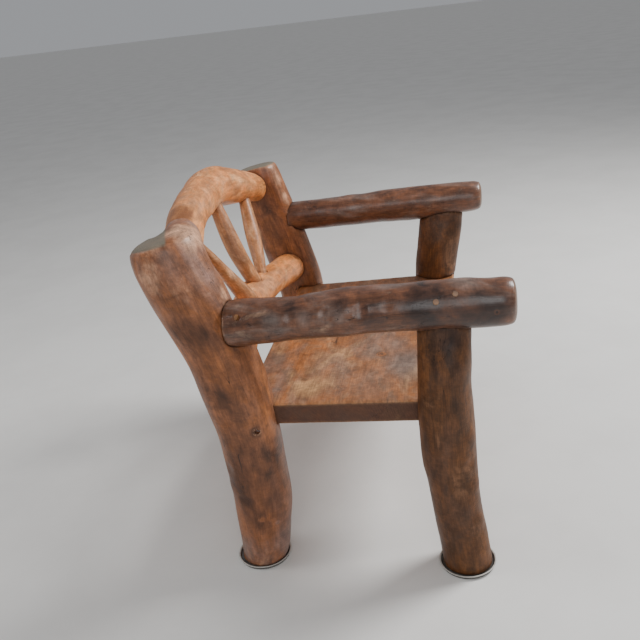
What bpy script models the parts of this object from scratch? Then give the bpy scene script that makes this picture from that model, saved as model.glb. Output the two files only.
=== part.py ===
"""Log armchair with a fan back, made of crooked branches, a slab seat and four foot cups.

Metres, +Z up. The chair faces -Y, and the sitter's right is -X. The back posts are logs sawn flat on
their inner side. Rails, arms and legs end in round tenons, and the fan's three spindles sit in
sockets. The origin is at floor height under the middle of the chair's box.
"""

import math

import bmesh
import bpy
from mathutils import Vector

# Layout of the frame
POST_SPACING = 0.752
ARM_OUTSET = 0.018
FRONT_FOOT_OUTSET = 0.022
FRONT_FOOT_Y = {"right": -0.262, "left": -0.226}
REAR_FOOT_Y = 0.203
SIDES = {"right": -1, "left": 1}
JOINT_GAP = 0.0003
OVERRUN = 0.06

# Back posts: rows of shares along the height, of the lean and of the radius
POST_HEIGHT = {"right": 0.772, "left": 0.750}
POST_LEAN = {"right": 0.100, "left": 0.085}
POST_RADIUS = {"right": 0.0700, "left": 0.0640}
POST_FLAT_DEPTH = 0.041
POST_TOP_FALL = {"right": 0.0200, "left": 0.0109}
POST_TOP_OUTWARD_FALL = 0.0013
POST_FOOT_EDGE = 0.003
POST_TOP_EDGE = {"right": 0.009, "left": 0.007}
POST_SHARES = {
    "right": (
        (0.000, -0.02, 0.76),
        (0.065, -0.10, 0.83),
        (0.155, -0.16, 0.90),
        (0.258, -0.18, 0.94),
        (0.361, -0.16, 0.95),
        (0.452, -0.11, 0.97),
        (0.516, -0.04, 1.01),
        (0.594, 0.06, 1.03),
        (0.684, 0.22, 1.02),
        (0.774, 0.48, 1.03),
        (0.865, 0.72, 1.06),
        (0.935, 0.89, 1.04),
        (1.000, 0.99, 0.95),
    ),
    "left": (
        (0.000, -0.02, 0.83),
        (0.067, -0.09, 0.89),
        (0.160, -0.17, 0.93),
        (0.266, -0.19, 0.97),
        (0.372, -0.15, 0.98),
        (0.465, -0.09, 1.00),
        (0.532, -0.02, 1.02),
        (0.648, 0.22, 1.02),
        (0.755, 0.44, 0.99),
        (0.851, 0.64, 0.95),
        (0.931, 0.83, 0.93),
        (1.000, 1.00, 0.88),
    ),
}

# Front legs: rows of shares along the height, of the drift back and of the radius
LEG_RADIUS = {"right": 0.0530, "left": 0.0560}
LEG_DRIFT = 0.029
LEG_TENON_RADIUS = 0.025
LEG_TENON_REACH = 0.031
LEG_SHOULDER_LENGTH = 0.080
LEG_SHOULDER_SHARE = 0.42
LEG_EDGE = 0.003
LEG_SHARES = {
    "right": (
        (0.000, 0.03, 1.00),
        (0.085, 0.25, 0.99),
        (0.193, 0.53, 0.97),
        (0.292, 0.70, 0.985),
        (0.415, 0.91, 1.05),
        (0.539, 0.96, 1.06),
        (0.671, 0.99, 1.03),
        (0.803, 0.92, 1.01),
        (1.000, 0.73, 0.99),
    ),
    "left": (
        (0.000, 0.00, 0.94),
        (0.100, 0.14, 0.95),
        (0.220, 0.40, 0.94),
        (0.350, 0.68, 0.96),
        (0.480, 0.88, 0.98),
        (0.588, 0.88, 1.00),
        (0.703, 0.60, 1.03),
        (0.818, 0.19, 1.06),
        (0.918, -0.12, 1.08),
        (1.000, -0.29, 1.09),
    ),
}

# Arms: rows of shares along the length, of the drop, of the outward bow and of the radius
ARM_FRONT_Y = {"right": -0.374, "left": -0.344}
ARM_REAR_Y = {"right": 0.193, "left": 0.207}
ARM_HEIGHT = {"right": 0.6098, "left": 0.6145}
ARM_DROP = {"right": 0.0220, "left": 0.0183}
ARM_RADIUS = {"right": 0.0478, "left": 0.0440}
ARM_TOE_IN = {"right": 0.002, "left": 0.020}
ARM_BOW = 0.006
ARM_FRONT_EDGE = 0.017
ARM_REAR_EDGE = {"right": 0.009, "left": 0.003}
ARM_TENON_RADIUS = 0.017
ARM_TENON_LENGTH = 0.045
ARM_SHARES = {
    "right": (
        (0.000, 0.00, 0.00, 0.985),
        (0.112, 0.00, 0.20, 0.998),
        (0.225, 0.01, 0.50, 1.000),
        (0.337, 0.02, 0.80, 1.002),
        (0.450, 0.10, 1.00, 0.996),
        (0.562, 0.23, 0.90, 1.012),
        (0.675, 0.55, 0.60, 0.960),
        (0.787, 0.75, 0.40, 0.931),
        (0.900, 0.84, 0.20, 0.973),
        (1.000, 1.00, 0.00, 1.000),
    ),
    "left": (
        (0.000, 0.00, 0.00, 0.93),
        (0.123, 0.10, 0.10, 0.975),
        (0.247, 0.31, 0.40, 1.032),
        (0.370, 0.51, 0.90, 1.048),
        (0.494, 0.57, 1.00, 1.018),
        (0.617, 0.64, 0.80, 0.998),
        (0.740, 0.74, 0.50, 0.991),
        (0.864, 0.86, 0.20, 0.975),
        (1.000, 1.00, 0.00, 0.955),
    ),
}

# Slab seat: how far each corner stops short of the middle of the log that it is let into
SEAT_SHORTFALL = {
    "right": {"front": 0.023, "rear": 0.001},
    "left": {"front": 0.006, "rear": 0.024},
}
SEAT_TOP = 0.391
SEAT_THICKNESS = 0.0505
SEAT_FRONT_Y = -0.258
SEAT_REAR_Y = 0.198
SEAT_EDGE = 0.004

# Back rails: rows of shares along the length, of the bow back, of the rise and of the radius
RAIL_TENON_RADIUS = 0.019
RAIL_TENON_LENGTH = 0.050
RAIL_EDGE = 0.003
TOP_RAIL_RADIUS = 0.0450
TOP_RAIL_DROP = {"right": 0.034, "left": 0.0505}
TOP_RAIL_OFFSET = {"right": -0.018, "left": 0.018}
TOP_RAIL_BOW = 0.048
TOP_RAIL_RISE = 0.051
TOP_RAIL_SHARES = (
    (0.000, 0.00, 0.00, 0.92),
    (0.127, 0.31, 0.57, 0.94),
    (0.276, 0.67, 0.74, 0.965),
    (0.425, 0.90, 0.84, 1.035),
    (0.575, 1.00, 1.00, 1.115),
    (0.724, 0.66, 0.78, 1.06),
    (0.873, 0.22, 0.41, 0.94),
    (1.000, 0.00, 0.00, 0.88),
)
LOWER_RAIL_RADIUS = 0.0448
LOWER_RAIL_CLEARANCE = 0.0197
LOWER_RAIL_OFFSET = 0.002
LOWER_RAIL_BOW = 0.0335
LOWER_RAIL_RISE = 0.031
LOWER_RAIL_SHARES = (
    (0.000, 0.00, 0.00, 0.92),
    (0.127, 0.50, 0.30, 0.96),
    (0.276, 0.89, 0.62, 0.99),
    (0.425, 1.00, 0.86, 1.00),
    (0.575, 0.92, 1.00, 0.98),
    (0.724, 0.73, 0.79, 0.95),
    (0.873, 0.38, 0.33, 0.96),
    (0.940, 0.18, 0.14, 0.98),
    (1.000, 0.00, 0.00, 0.92),
)

# Fan spindles from right to left: each foot and head stands its step past the one before
SPINDLES = ("right", "middle", "left")
SPINDLE_RADIUS = 0.0210
SPINDLE_SEAT = 0.026
SPINDLE_END_EDGE = 0.002
SPINDLE_BEND = 0.019
SPINDLE_FOOT_SETBACK = 0.009
SPINDLE_HEAD_SETBACK = {"right": 0.014, "middle": 0.010, "left": 0.000}
SPINDLE_FOOT_STEP_SHARES = (0.456, 0.110, 0.066)
SPINDLE_HEAD_STEP_SHARES = (0.052, 0.488, 0.324)
SPINDLE_GIRTH_SHARES = {
    "right": (1.08, 1.00, 0.80, 0.66, 0.56, 0.52),
    "middle": (0.84, 0.94, 1.04, 1.04, 0.92, 0.77),
    "left": (0.64, 0.80, 0.98, 0.98, 0.86, 0.66),
}
SPINDLE_RUN_SHARES = (0.0, 0.18, 0.42, 0.62, 0.82, 1.0)
SPINDLE_BEND_SHARES = {
    "right": (0.0, 0.05, 0.12, 0.10, 0.05, 0.0),
    "middle": (0.0, -0.45, -1.0, -0.85, -0.40, 0.0),
    "left": (0.0, 0.05, 0.10, 0.09, 0.04, 0.0),
}

# Foot cups
CUP_RADIUS = 0.0615
CUP_HEIGHT = 0.009
CUP_FLOOR = 0.003
CUP_WALL = 0.0022
CUP_FLARE = 0.003
CUP_LIP = 0.0012

# Screws and plugs
SCREW_SHANK_RADIUS = 0.0022
SCREW_HEAD_RADIUS = 0.0043
SCREW_HEAD_HEIGHT = 0.0030
SCREW_TIP = 0.007
LEG_SCREW_LENGTH = 0.062
REAR_SCREW_LENGTH = 0.085
SEAT_SCREW_LENGTH = 0.070
BORE_RADIUS = 0.0054
PLUG_DEPTH = 0.009
SEAT_BORE_DEPTH = 0.008
LEG_SCREW_STEP = {"front": -0.0216, "rear": 0.0144}
LEG_SCREW_RISE = {"front": 0.033, "rear": 0.022}
LEG_SCREW_TILT_DEGREES = 20
REAR_SCREW_SETBACK = 0.034
REAR_SCREW_RISE = 0.027
REAR_SCREW_ANGLE_DEGREES = 45
SEAT_SCREW_SETBACK = 0.043
SEAT_SCREW_DROP = 0.032

# Mesh density and the natural unevenness of round wood
POST_SIDES = 22
LOG_SIDES = 18
RAIL_SIDES = 16
SPINDLE_SIDES = 12
CUP_SIDES = 30
SMALL_SIDES = 10
STEPS_PER_STATION = 2
EDGE_STEPS = 2
LOBE_SHARES = ((2, 2.6, 0.4, 0.018), (3, -4.1, 1.9, 0.012), (5, 6.7, 3.1, 0.006))

# Finishes: colour, roughness, metallic
FINISHES = {
    "waxed_log": ((0.30, 0.125, 0.045), 0.38, 0.0),
    "waxed_slab": ((0.26, 0.115, 0.045), 0.42, 0.0),
    "plug_wood": ((0.46, 0.25, 0.10), 0.45, 0.0),
    "screw_steel": ((0.32, 0.32, 0.33), 0.40, 1.0),
    "cup_plastic": ((0.42, 0.40, 0.37), 0.50, 0.0),
}


def clear_scene():
    """Removes whatever the file holds."""
    for thing in list(bpy.data.objects):
        bpy.data.objects.remove(thing, do_unlink=True)


def finish(name):
    """The named material, made once."""
    material = bpy.data.materials.get(name)
    if material is None:
        colour, roughness, metallic = FINISHES[name]
        material = bpy.data.materials.new(name)
        material.use_nodes = True
        shader = material.node_tree.nodes["Principled BSDF"]
        shader.inputs["Base Color"].default_value = (*colour, 1)
        shader.inputs["Roughness"].default_value = roughness
        shader.inputs["Metallic"].default_value = metallic
    return material


def add_object(name, bm, material_name, sharp=math.radians(40)):
    """Closes the mesh outwards and puts it in the scene, as a piece or, with no material, as a cutter."""
    bmesh.ops.recalc_face_normals(bm, faces=bm.faces)
    mesh = bpy.data.meshes.new(name)
    bm.to_mesh(mesh)
    bm.free()
    thing = bpy.data.objects.new(name, mesh)
    bpy.context.collection.objects.link(thing)
    if material_name:
        mesh.materials.append(finish(material_name))
        mesh.shade_smooth()
        mesh.set_sharp_from_angle(angle=sharp)
    else:
        thing.hide_render = True
        thing.display_type = "WIRE"
    return thing


def boolean(piece, operation, *others):
    """Cuts, joins or trims the piece with each of the others."""
    for other in others:
        modifier = piece.modifiers.new(f"{operation.title()} {other.name}", "BOOLEAN")
        modifier.operation = operation
        modifier.solver = "EXACT"
        modifier.object = other


def skin(name, rings, material_name=None):
    """A closed body over a row of rings that all have as many points."""
    bm = bmesh.new()
    rows = [[bm.verts.new(point) for point in ring] for ring in rings]
    count = len(rows[0])
    for lower, upper in zip(rows, rows[1:]):
        for i in range(count):
            j = (i + 1) % count
            bm.faces.new((lower[i], lower[j], upper[j], upper[i]))
    bm.faces.new(rows[0])
    bm.faces.new(rows[-1])
    return add_object(name, bm, material_name)


def catmull_rom(a, b, c, d, t):
    """The value at t between b and c on the smooth curve through all four."""
    return 0.5 * (
        2 * b + (c - a) * t + (2 * a - 5 * b + 4 * c - d) * t * t + (3 * b - a - 3 * c + d) * t**3
    )


def smooth_stations(knots, steps=STEPS_PER_STATION):
    """Stations (x, y, z, radius) along the smooth curve through the knots."""
    before = tuple(2 * a - b for a, b in zip(knots[0], knots[1]))
    after = tuple(2 * a - b for a, b in zip(knots[-1], knots[-2]))
    padded = [before, *knots, after]
    stations = []
    for i in range(len(knots) - 1):
        for k in range(steps):
            stations.append(tuple(catmull_rom(*four, k / steps) for four in zip(*padded[i : i + 4])))
    stations.append(knots[-1])
    return stations


def station_at(stations, axis, value):
    """The station where a coordinate (0, 1 or 2) reaches a value, by straight interpolation."""
    for low, high in zip(stations, stations[1:]):
        if min(low[axis], high[axis]) <= value <= max(low[axis], high[axis]):
            share = (value - low[axis]) / (high[axis] - low[axis])
            return tuple(a + (b - a) * share for a, b in zip(low, high))
    return min((stations[0], stations[-1]), key=lambda station: abs(station[axis] - value))


def log_rings(stations, sides, reference, character, extra=0.0):
    """A ring round each station, square to the log's run, with the unevenness of round wood."""
    centres = [Vector(station[:3]) for station in stations]
    rings = []
    for i, (centre, station) in enumerate(zip(centres, stations)):
        along = (centres[min(i + 1, len(centres) - 1)] - centres[max(i - 1, 0)]).normalized()
        across = (reference - along * reference.dot(along)).normalized()
        up = along.cross(across)
        place = i / (len(stations) - 1)
        ring = []
        for k in range(sides):
            angle = 2 * math.pi * k / sides
            swell = sum(
                share * math.cos(count * angle + twist * place + phase + character)
                for count, twist, phase, share in LOBE_SHARES
            )
            radius = station[3] * (1 + swell) + extra
            ring.append(centre + (across * math.cos(angle) + up * math.sin(angle)) * radius)
        rings.append(ring)
    return rings


def middle(ring):
    """The middle of a ring."""
    return sum(ring, Vector()) / len(ring)


def slid_to_plane(ring, run, point, normal):
    """The ring with each point slid along the log's run to a plane."""
    return [v + run * ((point - v).dot(normal) / run.dot(normal)) for v in ring]


def end_rings(ring, run, point, normal, edge):
    """The rings that turn a log's side into a flat end in a plane, round a small edge."""
    centre = middle(ring)
    rings = []
    for k in range(EDGE_STEPS + 1):
        turn = math.pi / 2 * k / EDGE_STEPS
        inset = edge * (1 - math.cos(turn))
        setback = edge * (1 - math.sin(turn))
        drawn_in = [v + (centre - v).normalized() * inset for v in ring]
        rings.append(slid_to_plane(drawn_in, run, point - normal * setback, normal))
    return rings


def tenon_rings(ring, point, normal, radius, length, edge):
    """The rings of a round tenon that stands on a log's flat end, its tip edge broken."""
    rings = []
    for reach, girth in ((0, radius), (length - edge, radius), (length, radius - edge)):
        rings.append([
            point + normal * reach + flat_offset(v - point, normal).normalized() * girth for v in ring
        ])
    return rings


def flat_offset(offset, normal):
    """The part of an offset that lies in a plane."""
    return offset - normal * offset.dot(normal)


def turned(name, start, run, profile, sides, material_name=None):
    """A turned body: the profile gives distances along the run from the start, and radii."""
    across = run.orthogonal().normalized()
    up = run.cross(across)
    rings = []
    for distance, radius in profile:
        rings.append([
            start
            + run * distance
            + (across * math.cos(2 * math.pi * k / sides) + up * math.sin(2 * math.pi * k / sides)) * radius
            for k in range(sides)
        ])
    return skin(name, rings, material_name)


def block(name, low, high):
    """A box-shaped cutter between two corners."""
    bm = bmesh.new()
    bmesh.ops.create_cube(bm, size=1)
    centre = (low + high) / 2
    for vertex in bm.verts:
        vertex.co = centre + Vector(a * b for a, b in zip(vertex.co, high - low))
    return add_object(name, bm, None)


# Where each log runs


def post_stations(side):
    """The back post's run, from the cup's floor to the sloping saw cut at its top."""
    foot = CUP_FLOOR + JOINT_GAP
    height = POST_HEIGHT[side] - foot
    x = SIDES[side] * POST_SPACING / 2
    knots = [
        (x, REAR_FOOT_Y + drift * POST_LEAN[side], foot + rise * height, girth * POST_RADIUS[side])
        for rise, drift, girth in POST_SHARES[side]
    ]
    return smooth_stations(knots)


def arm_stations(side):
    """The arm's run, from its round front end to its end in the post."""
    front, rear = ARM_FRONT_Y[side], ARM_REAR_Y[side]
    knots = [
        (
            SIDES[side] * (POST_SPACING / 2 + ARM_OUTSET + bow * ARM_BOW - along * ARM_TOE_IN[side]),
            front + along * (rear - front),
            ARM_HEIGHT[side] - drop * ARM_DROP[side],
            girth * ARM_RADIUS[side],
        )
        for along, drop, bow, girth in ARM_SHARES[side]
    ]
    return smooth_stations(knots)


def leg_stations(side):
    """The front leg's run, from the cup's floor up into the arm."""
    foot = CUP_FLOOR + JOINT_GAP
    top_y = FRONT_FOOT_Y[side] + LEG_SHARES[side][-1][1] * LEG_DRIFT
    arm = station_at(arm_stations(side), 1, top_y)
    foot_x = SIDES[side] * (POST_SPACING / 2 + FRONT_FOOT_OUTSET)
    knots = [
        (
            foot_x + (arm[0] - foot_x) * rise,
            FRONT_FOOT_Y[side] + drift * LEG_DRIFT,
            foot + rise * (arm[2] - foot),
            girth * LEG_RADIUS[side],
        )
        for rise, drift, girth in LEG_SHARES[side]
    ]
    return smooth_stations(knots)


def post_flat_x(side):
    """Where the post's sawn inner face stands."""
    return SIDES[side] * (POST_SPACING / 2 - POST_FLAT_DEPTH)


def rail_stations(shares, ends, radius, bow, rise):
    """A back rail's run between its two ends, bowed back and up."""
    start, stop = ends
    knots = []
    for along, back, up, girth in shares:
        centre = start.lerp(stop, along) + Vector((0, back * bow, up * rise))
        knots.append((*centre, girth * radius))
    return smooth_stations(knots)


def top_rail_stations():
    """The arched top rail's run."""
    ends = []
    for side in SIDES:
        height = POST_HEIGHT[side] - TOP_RAIL_DROP[side]
        y = station_at(post_stations(side), 2, height)[1] + TOP_RAIL_OFFSET[side]
        ends.append(Vector((post_flat_x(side) - SIDES[side] * JOINT_GAP, y, height)))
    return rail_stations(TOP_RAIL_SHARES, ends, TOP_RAIL_RADIUS, TOP_RAIL_BOW, TOP_RAIL_RISE)


def lower_rail_stations():
    """The thick lower rail's run."""
    height = SEAT_TOP + LOWER_RAIL_CLEARANCE + LOWER_RAIL_RADIUS
    ends = []
    for side in SIDES:
        y = station_at(post_stations(side), 2, height)[1] + LOWER_RAIL_OFFSET
        ends.append(Vector((post_flat_x(side) - SIDES[side] * JOINT_GAP, y, height)))
    return rail_stations(LOWER_RAIL_SHARES, ends, LOWER_RAIL_RADIUS, LOWER_RAIL_BOW, LOWER_RAIL_RISE)


# The pieces' own shapes, each also made a little larger as the cutter of its own seat


def post_body(side):
    """The round post with its foot and its sloping top."""
    stations = post_stations(side)
    rings = log_rings(stations, POST_SIDES, Vector((1, 0, 0)), 0.7 * SIDES[side])
    foot, top = Vector(stations[0][:3]), Vector(stations[-1][:3])
    up = Vector((0, 0, 1))
    cut = Vector((SIDES[side] * POST_TOP_OUTWARD_FALL, POST_TOP_FALL[side], POST_RADIUS[side])).normalized()
    top_run = (top - Vector(stations[-2][:3])).normalized()
    start = end_rings(rings[0], -up, foot, -up, POST_FOOT_EDGE)
    stop = end_rings(rings[-1], top_run, top, cut, POST_TOP_EDGE[side])
    return skin(f"back_post_{side}", [*reversed(start), *rings[1:-1], *stop], "waxed_log")


def arm_body(name, side, material_name=None, extra=0.0):
    """The arm with its rounded front end, its flat rear end and the tenon on it."""
    stations = arm_stations(side)
    rings = log_rings(stations, LOG_SIDES, Vector((1, 0, 0)), 1.9 * SIDES[side], extra)
    front, rear = Vector(stations[0][:3]), Vector(stations[-1][:3])
    back = Vector((0, 1, 0))
    rear += back * extra
    start = end_rings(rings[0], -back, front - back * extra, -back, ARM_FRONT_EDGE)
    stop = end_rings(rings[-1], back, rear, back, ARM_REAR_EDGE[side])
    tenon = tenon_rings(stop[-1], rear, back, ARM_TENON_RADIUS + extra, ARM_TENON_LENGTH, RAIL_EDGE)
    return skin(name, [*reversed(start), *rings[1:-1], *stop, *tenon], material_name)


def leg_body(side):
    """The leg's log, drawn in on its inner and outer sides to a shoulder that fits under the arm."""
    stations = leg_stations(side)
    rings = log_rings(stations, LOG_SIDES, Vector((1, 0, 0)), 2.6 * SIDES[side])
    full = stations[-1][2] - ARM_RADIUS[side] - LEG_SHOULDER_LENGTH
    for ring, station in zip(rings, stations):
        share = min(max((station[2] - full) / LEG_SHOULDER_LENGTH, 0), 1)
        for point in ring:
            point.x += (station[0] - point.x) * LEG_SHOULDER_SHARE * share * share * (3 - 2 * share)
    foot = Vector(stations[0][:3])
    down = Vector((0, 0, -1))
    start = end_rings(rings[0], down, foot, down, LEG_EDGE)
    return skin(f"front_leg_{side}", [*reversed(start), *rings[1:]], "waxed_log")


def leg_tenon(name, side, extra=0.0):
    """The round tenon on the leg's top, which stands in the arm."""
    centre = Vector(leg_stations(side)[-1][:3])
    low = centre - Vector((0, 0, ARM_RADIUS[side] + LEG_TENON_RADIUS))
    length = ARM_RADIUS[side] + LEG_TENON_RADIUS + LEG_TENON_REACH
    radius = LEG_TENON_RADIUS + extra
    profile = ((0, radius), (length - LEG_EDGE, radius), (length + extra, radius - LEG_EDGE))
    return turned(name, low, Vector((0, 0, 1)), profile, LOG_SIDES)


def rail_body(name, stations, character, material_name=None, extra=0.0):
    """A back rail with a round tenon on each end, its shoulders flat against the posts."""
    rings = log_rings(stations, RAIL_SIDES, Vector((0, 1, 0)), character, extra)
    groups = []
    for near, beyond, outward in ((0, 1, -1), (-1, -2, 1)):
        point = Vector(stations[near][:3])
        run = (point - Vector(stations[beyond][:3])).normalized()
        face = Vector((outward, 0, 0))
        shoulder = end_rings(rings[near], run, point, face, RAIL_EDGE)
        radius = RAIL_TENON_RADIUS + extra
        tenon = tenon_rings(shoulder[-1], point, face, radius, RAIL_TENON_LENGTH + extra, RAIL_EDGE)
        groups.append([*shoulder, *tenon])
    return skin(name, [*reversed(groups[0]), *rings[1:-1], *groups[1]], material_name)


def spindle_stations(place):
    """A spindle's run between its two sockets."""
    count = SPINDLES.index(place) + 1
    foot_share = sum(SPINDLE_FOOT_STEP_SHARES[:count])
    head_share = sum(SPINDLE_HEAD_STEP_SHARES[:count])
    lower, top = lower_rail_stations(), top_rail_stations()
    ends = []
    for rail, share, setback in (
        (lower, foot_share, SPINDLE_FOOT_SETBACK),
        (top, head_share, SPINDLE_HEAD_SETBACK[place]),
    ):
        x, y, z, radius = station_at(rail, 0, rail[0][0] + (rail[-1][0] - rail[0][0]) * share)
        ends.append((Vector((x, y - setback, z)), math.sqrt(radius**2 - setback**2)))
    (foot, foot_height), (head, head_height) = ends
    run = (head - foot).normalized()
    start = foot + run * (foot_height / run.z - SPINDLE_SEAT)
    stop = head - run * (head_height / run.z - SPINDLE_SEAT)
    shares = zip(SPINDLE_RUN_SHARES, SPINDLE_GIRTH_SHARES[place], SPINDLE_BEND_SHARES[place])
    knots = []
    for along, girth, bend in shares:
        centre = start.lerp(stop, along) + Vector((bend * SPINDLE_BEND, 0, 0))
        knots.append((*centre, girth * SPINDLE_RADIUS))
    return smooth_stations(knots)


def spindle_body(name, place, material_name=None, extra=0.0):
    """A spindle, fat in its middle, with its ends' edges broken."""
    stations = spindle_stations(place)
    character = SPINDLES.index(place) + 2
    rings = log_rings(stations, SPINDLE_SIDES, Vector((1, 0, 0)), character, extra)
    ends = []
    for near, beyond in ((0, 1), (-1, -2)):
        point = Vector(stations[near][:3])
        run = (point - Vector(stations[beyond][:3])).normalized()
        ends.append(end_rings(rings[near], run, point + run * extra, run, SPINDLE_END_EDGE))
    return skin(name, [*reversed(ends[0]), *rings[1:-1], *ends[1]], material_name)


def seat_body(name, material_name=None, extra=0.0):
    """The slab."""
    bm = bmesh.new()
    bmesh.ops.create_cube(bm, size=1)
    middle_y = (SEAT_FRONT_Y + SEAT_REAR_Y) / 2
    log_x = {"front": POST_SPACING / 2 + FRONT_FOOT_OUTSET, "rear": POST_SPACING / 2}
    for vertex in bm.verts:
        across, back, up = (2 * part for part in vertex.co)
        corner = "front" if back < 0 else "rear"
        reach = log_x[corner] - SEAT_SHORTFALL["right" if across < 0 else "left"][corner]
        vertex.co = Vector((
            across * (reach + extra),
            middle_y + back * ((SEAT_REAR_Y - SEAT_FRONT_Y) / 2 + extra),
            SEAT_TOP - SEAT_THICKNESS / 2 + up * (SEAT_THICKNESS / 2 + extra),
        ))
    if material_name:
        bmesh.ops.bevel(bm, geom=bm.edges, offset=SEAT_EDGE, segments=EDGE_STEPS, affect="EDGES")
    return add_object(name, bm, material_name)


# Screws, with the bores that they and their plugs need


def screw_and_bore(name, head, run, length, outside):
    """A countersunk wood screw and the cutter of its bore, which opens past the wood's surface."""
    shank, tip = length - SCREW_TIP, SCREW_SHANK_RADIUS / 2
    profile = (
        (0, SCREW_HEAD_RADIUS),
        (SCREW_HEAD_HEIGHT, SCREW_SHANK_RADIUS),
        (shank, SCREW_SHANK_RADIUS),
        (length, tip),
    )
    screw = turned(name, head, run, profile, SMALL_SIDES, "screw_steel")
    seat = SCREW_HEAD_HEIGHT * (BORE_RADIUS - SCREW_SHANK_RADIUS) / (SCREW_HEAD_RADIUS - SCREW_SHANK_RADIUS)
    bore_profile = (
        (-outside, BORE_RADIUS),
        (0, BORE_RADIUS),
        (seat, SCREW_SHANK_RADIUS + JOINT_GAP),
        (length + JOINT_GAP, SCREW_SHANK_RADIUS + JOINT_GAP),
    )
    bore = turned(f"{name}_bore", head, run, bore_profile, SMALL_SIDES)
    return screw, bore


def plug_for(name, head, run, outside, surface):
    """A wooden plug over a screw's head, trimmed flush with the log's surface."""
    radius = BORE_RADIUS - JOINT_GAP
    profile = ((JOINT_GAP, radius), (outside, radius))
    plug = turned(name, head, -run, profile, SMALL_SIDES, "plug_wood")
    boolean(plug, "INTERSECT", surface)
    return plug


def arm_screw_places(side):
    """Name, length, a point on the arm's middle plane and the direction of each of the arm's screws."""
    inward = Vector((-SIDES[side], 0, 0))
    leg = Vector(leg_stations(side)[-1][:3])
    tilt = math.radians(LEG_SCREW_TILT_DEGREES)
    down_and_in = inward * math.cos(tilt) - Vector((0, 0, math.sin(tilt)))
    places = [
        (f"leg_{place}", LEG_SCREW_LENGTH, leg.y + step, LEG_SCREW_RISE[place], down_and_in)
        for place, step in LEG_SCREW_STEP.items()
    ]
    angle = math.radians(REAR_SCREW_ANGLE_DEGREES)
    back_and_in = inward * math.cos(angle) + Vector((0, math.sin(angle), 0))
    rear_y = ARM_REAR_Y[side] - REAR_SCREW_SETBACK
    places.append(("post", REAR_SCREW_LENGTH, rear_y, REAR_SCREW_RISE, back_and_in))
    return places


def add_arm_screws(side, arm, leg, post, surface):
    """The arm's three screws with their plugs, and the bores through what they hold."""
    for place, length, y, rise, run in arm_screw_places(side):
        x, _, z, radius = station_at(arm_stations(side), 1, y)
        outside = Vector((x + SIDES[side] * math.sqrt(radius**2 - rise**2), y, z + rise))
        head = outside + run * PLUG_DEPTH
        _, bore = screw_and_bore(f"arm_screw_{place}_{side}", head, run, length, OVERRUN)
        boolean(arm, "DIFFERENCE", bore)
        boolean(post if place == "post" else leg, "DIFFERENCE", bore)
        plug_for(f"arm_plug_{place}_{side}", head, run, OVERRUN, surface)


def add_seat_screw(side, post, seat):
    """The seat's screw, set deep in the post's outer side and left unplugged."""
    inward = Vector((-SIDES[side], 0, 0))
    y = SEAT_REAR_Y - SEAT_SCREW_SETBACK
    z = SEAT_TOP - SEAT_SCREW_DROP
    axis = station_at(post_stations(side), 2, z)
    depth = math.sqrt(axis[3] ** 2 - (y - axis[1]) ** 2)
    head = Vector((axis[0], y, z)) - inward * (depth - SEAT_BORE_DEPTH)
    _, bore = screw_and_bore(f"seat_screw_{side}", head, inward, SEAT_SCREW_LENGTH, OVERRUN)
    boolean(post, "DIFFERENCE", bore)
    boolean(seat, "DIFFERENCE", bore)


def add_foot_cup(name, centre):
    """A shallow cup with a flared wall and a rolled lip."""
    base = CUP_RADIUS - CUP_FLARE
    top_inner = CUP_RADIUS - CUP_WALL
    profile = (
        (0, base - CUP_LIP),
        (CUP_LIP, base),
        (CUP_HEIGHT - CUP_LIP, CUP_RADIUS),
        (CUP_HEIGHT, CUP_RADIUS - CUP_WALL / 2),
        (CUP_HEIGHT - CUP_LIP, top_inner),
        (CUP_FLOOR, base - CUP_WALL),
    )
    floor_point = Vector((centre[0], centre[1], 0))
    return turned(name, floor_point, Vector((0, 0, 1)), profile, CUP_SIDES, "cup_plastic")


# The assembly


def add_side(side, seat, rails):
    """One side of the chair: its post, leg, arm, cups and screws."""
    post = post_body(side)
    leg = leg_body(side)
    arm = arm_body(f"arm_{side}", side, "waxed_log")
    surface = arm_body(f"arm_{side}_surface", side)
    housing = arm_body(f"arm_{side}_housing", side, extra=JOINT_GAP)
    tenon = leg_tenon(f"leg_{side}_tenon", side)
    mortise = leg_tenon(f"leg_{side}_mortise", side, JOINT_GAP)
    slab = seat_body(f"seat_housing_{side}", extra=JOINT_GAP)

    flat = post_flat_x(side)
    inner_side = sorted((flat, flat - SIDES[side] * POST_SPACING / 2))
    waste = block(
        f"post_{side}_waste",
        Vector((inner_side[0], REAR_FOOT_Y - POST_SPACING, -OVERRUN)),
        Vector((inner_side[1], REAR_FOOT_Y + POST_SPACING, POST_HEIGHT[side] + POST_SPACING)),
    )
    boolean(post, "DIFFERENCE", waste, slab, housing, *rails)
    boolean(leg, "DIFFERENCE", housing, slab)
    boolean(leg, "UNION", tenon)
    boolean(arm, "DIFFERENCE", mortise)
    add_arm_screws(side, arm, leg, post, surface)
    add_seat_screw(side, post, seat)
    add_foot_cup(f"foot_cup_rear_{side}", post_stations(side)[0])
    add_foot_cup(f"foot_cup_front_{side}", leg_stations(side)[0])


def add_fan_back():
    """The two rails and the fan's spindles. Returns the cutters of the rails' sockets in the posts."""
    cutters = []
    rails = []
    runs = {"top": (top_rail_stations(), 0.3), "lower": (lower_rail_stations(), 4.4)}
    for place, (stations, character) in runs.items():
        rails.append(rail_body(f"{place}_rail", stations, character, "waxed_log"))
        cutters.append(rail_body(f"{place}_rail_sockets", stations, character, extra=JOINT_GAP))
    for place in SPINDLES:
        spindle_body(f"spindle_{place}", place, "waxed_log")
        socket = spindle_body(f"spindle_{place}_sockets", place, extra=JOINT_GAP)
        for rail in rails:
            boolean(rail, "DIFFERENCE", socket)
    return cutters


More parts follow.
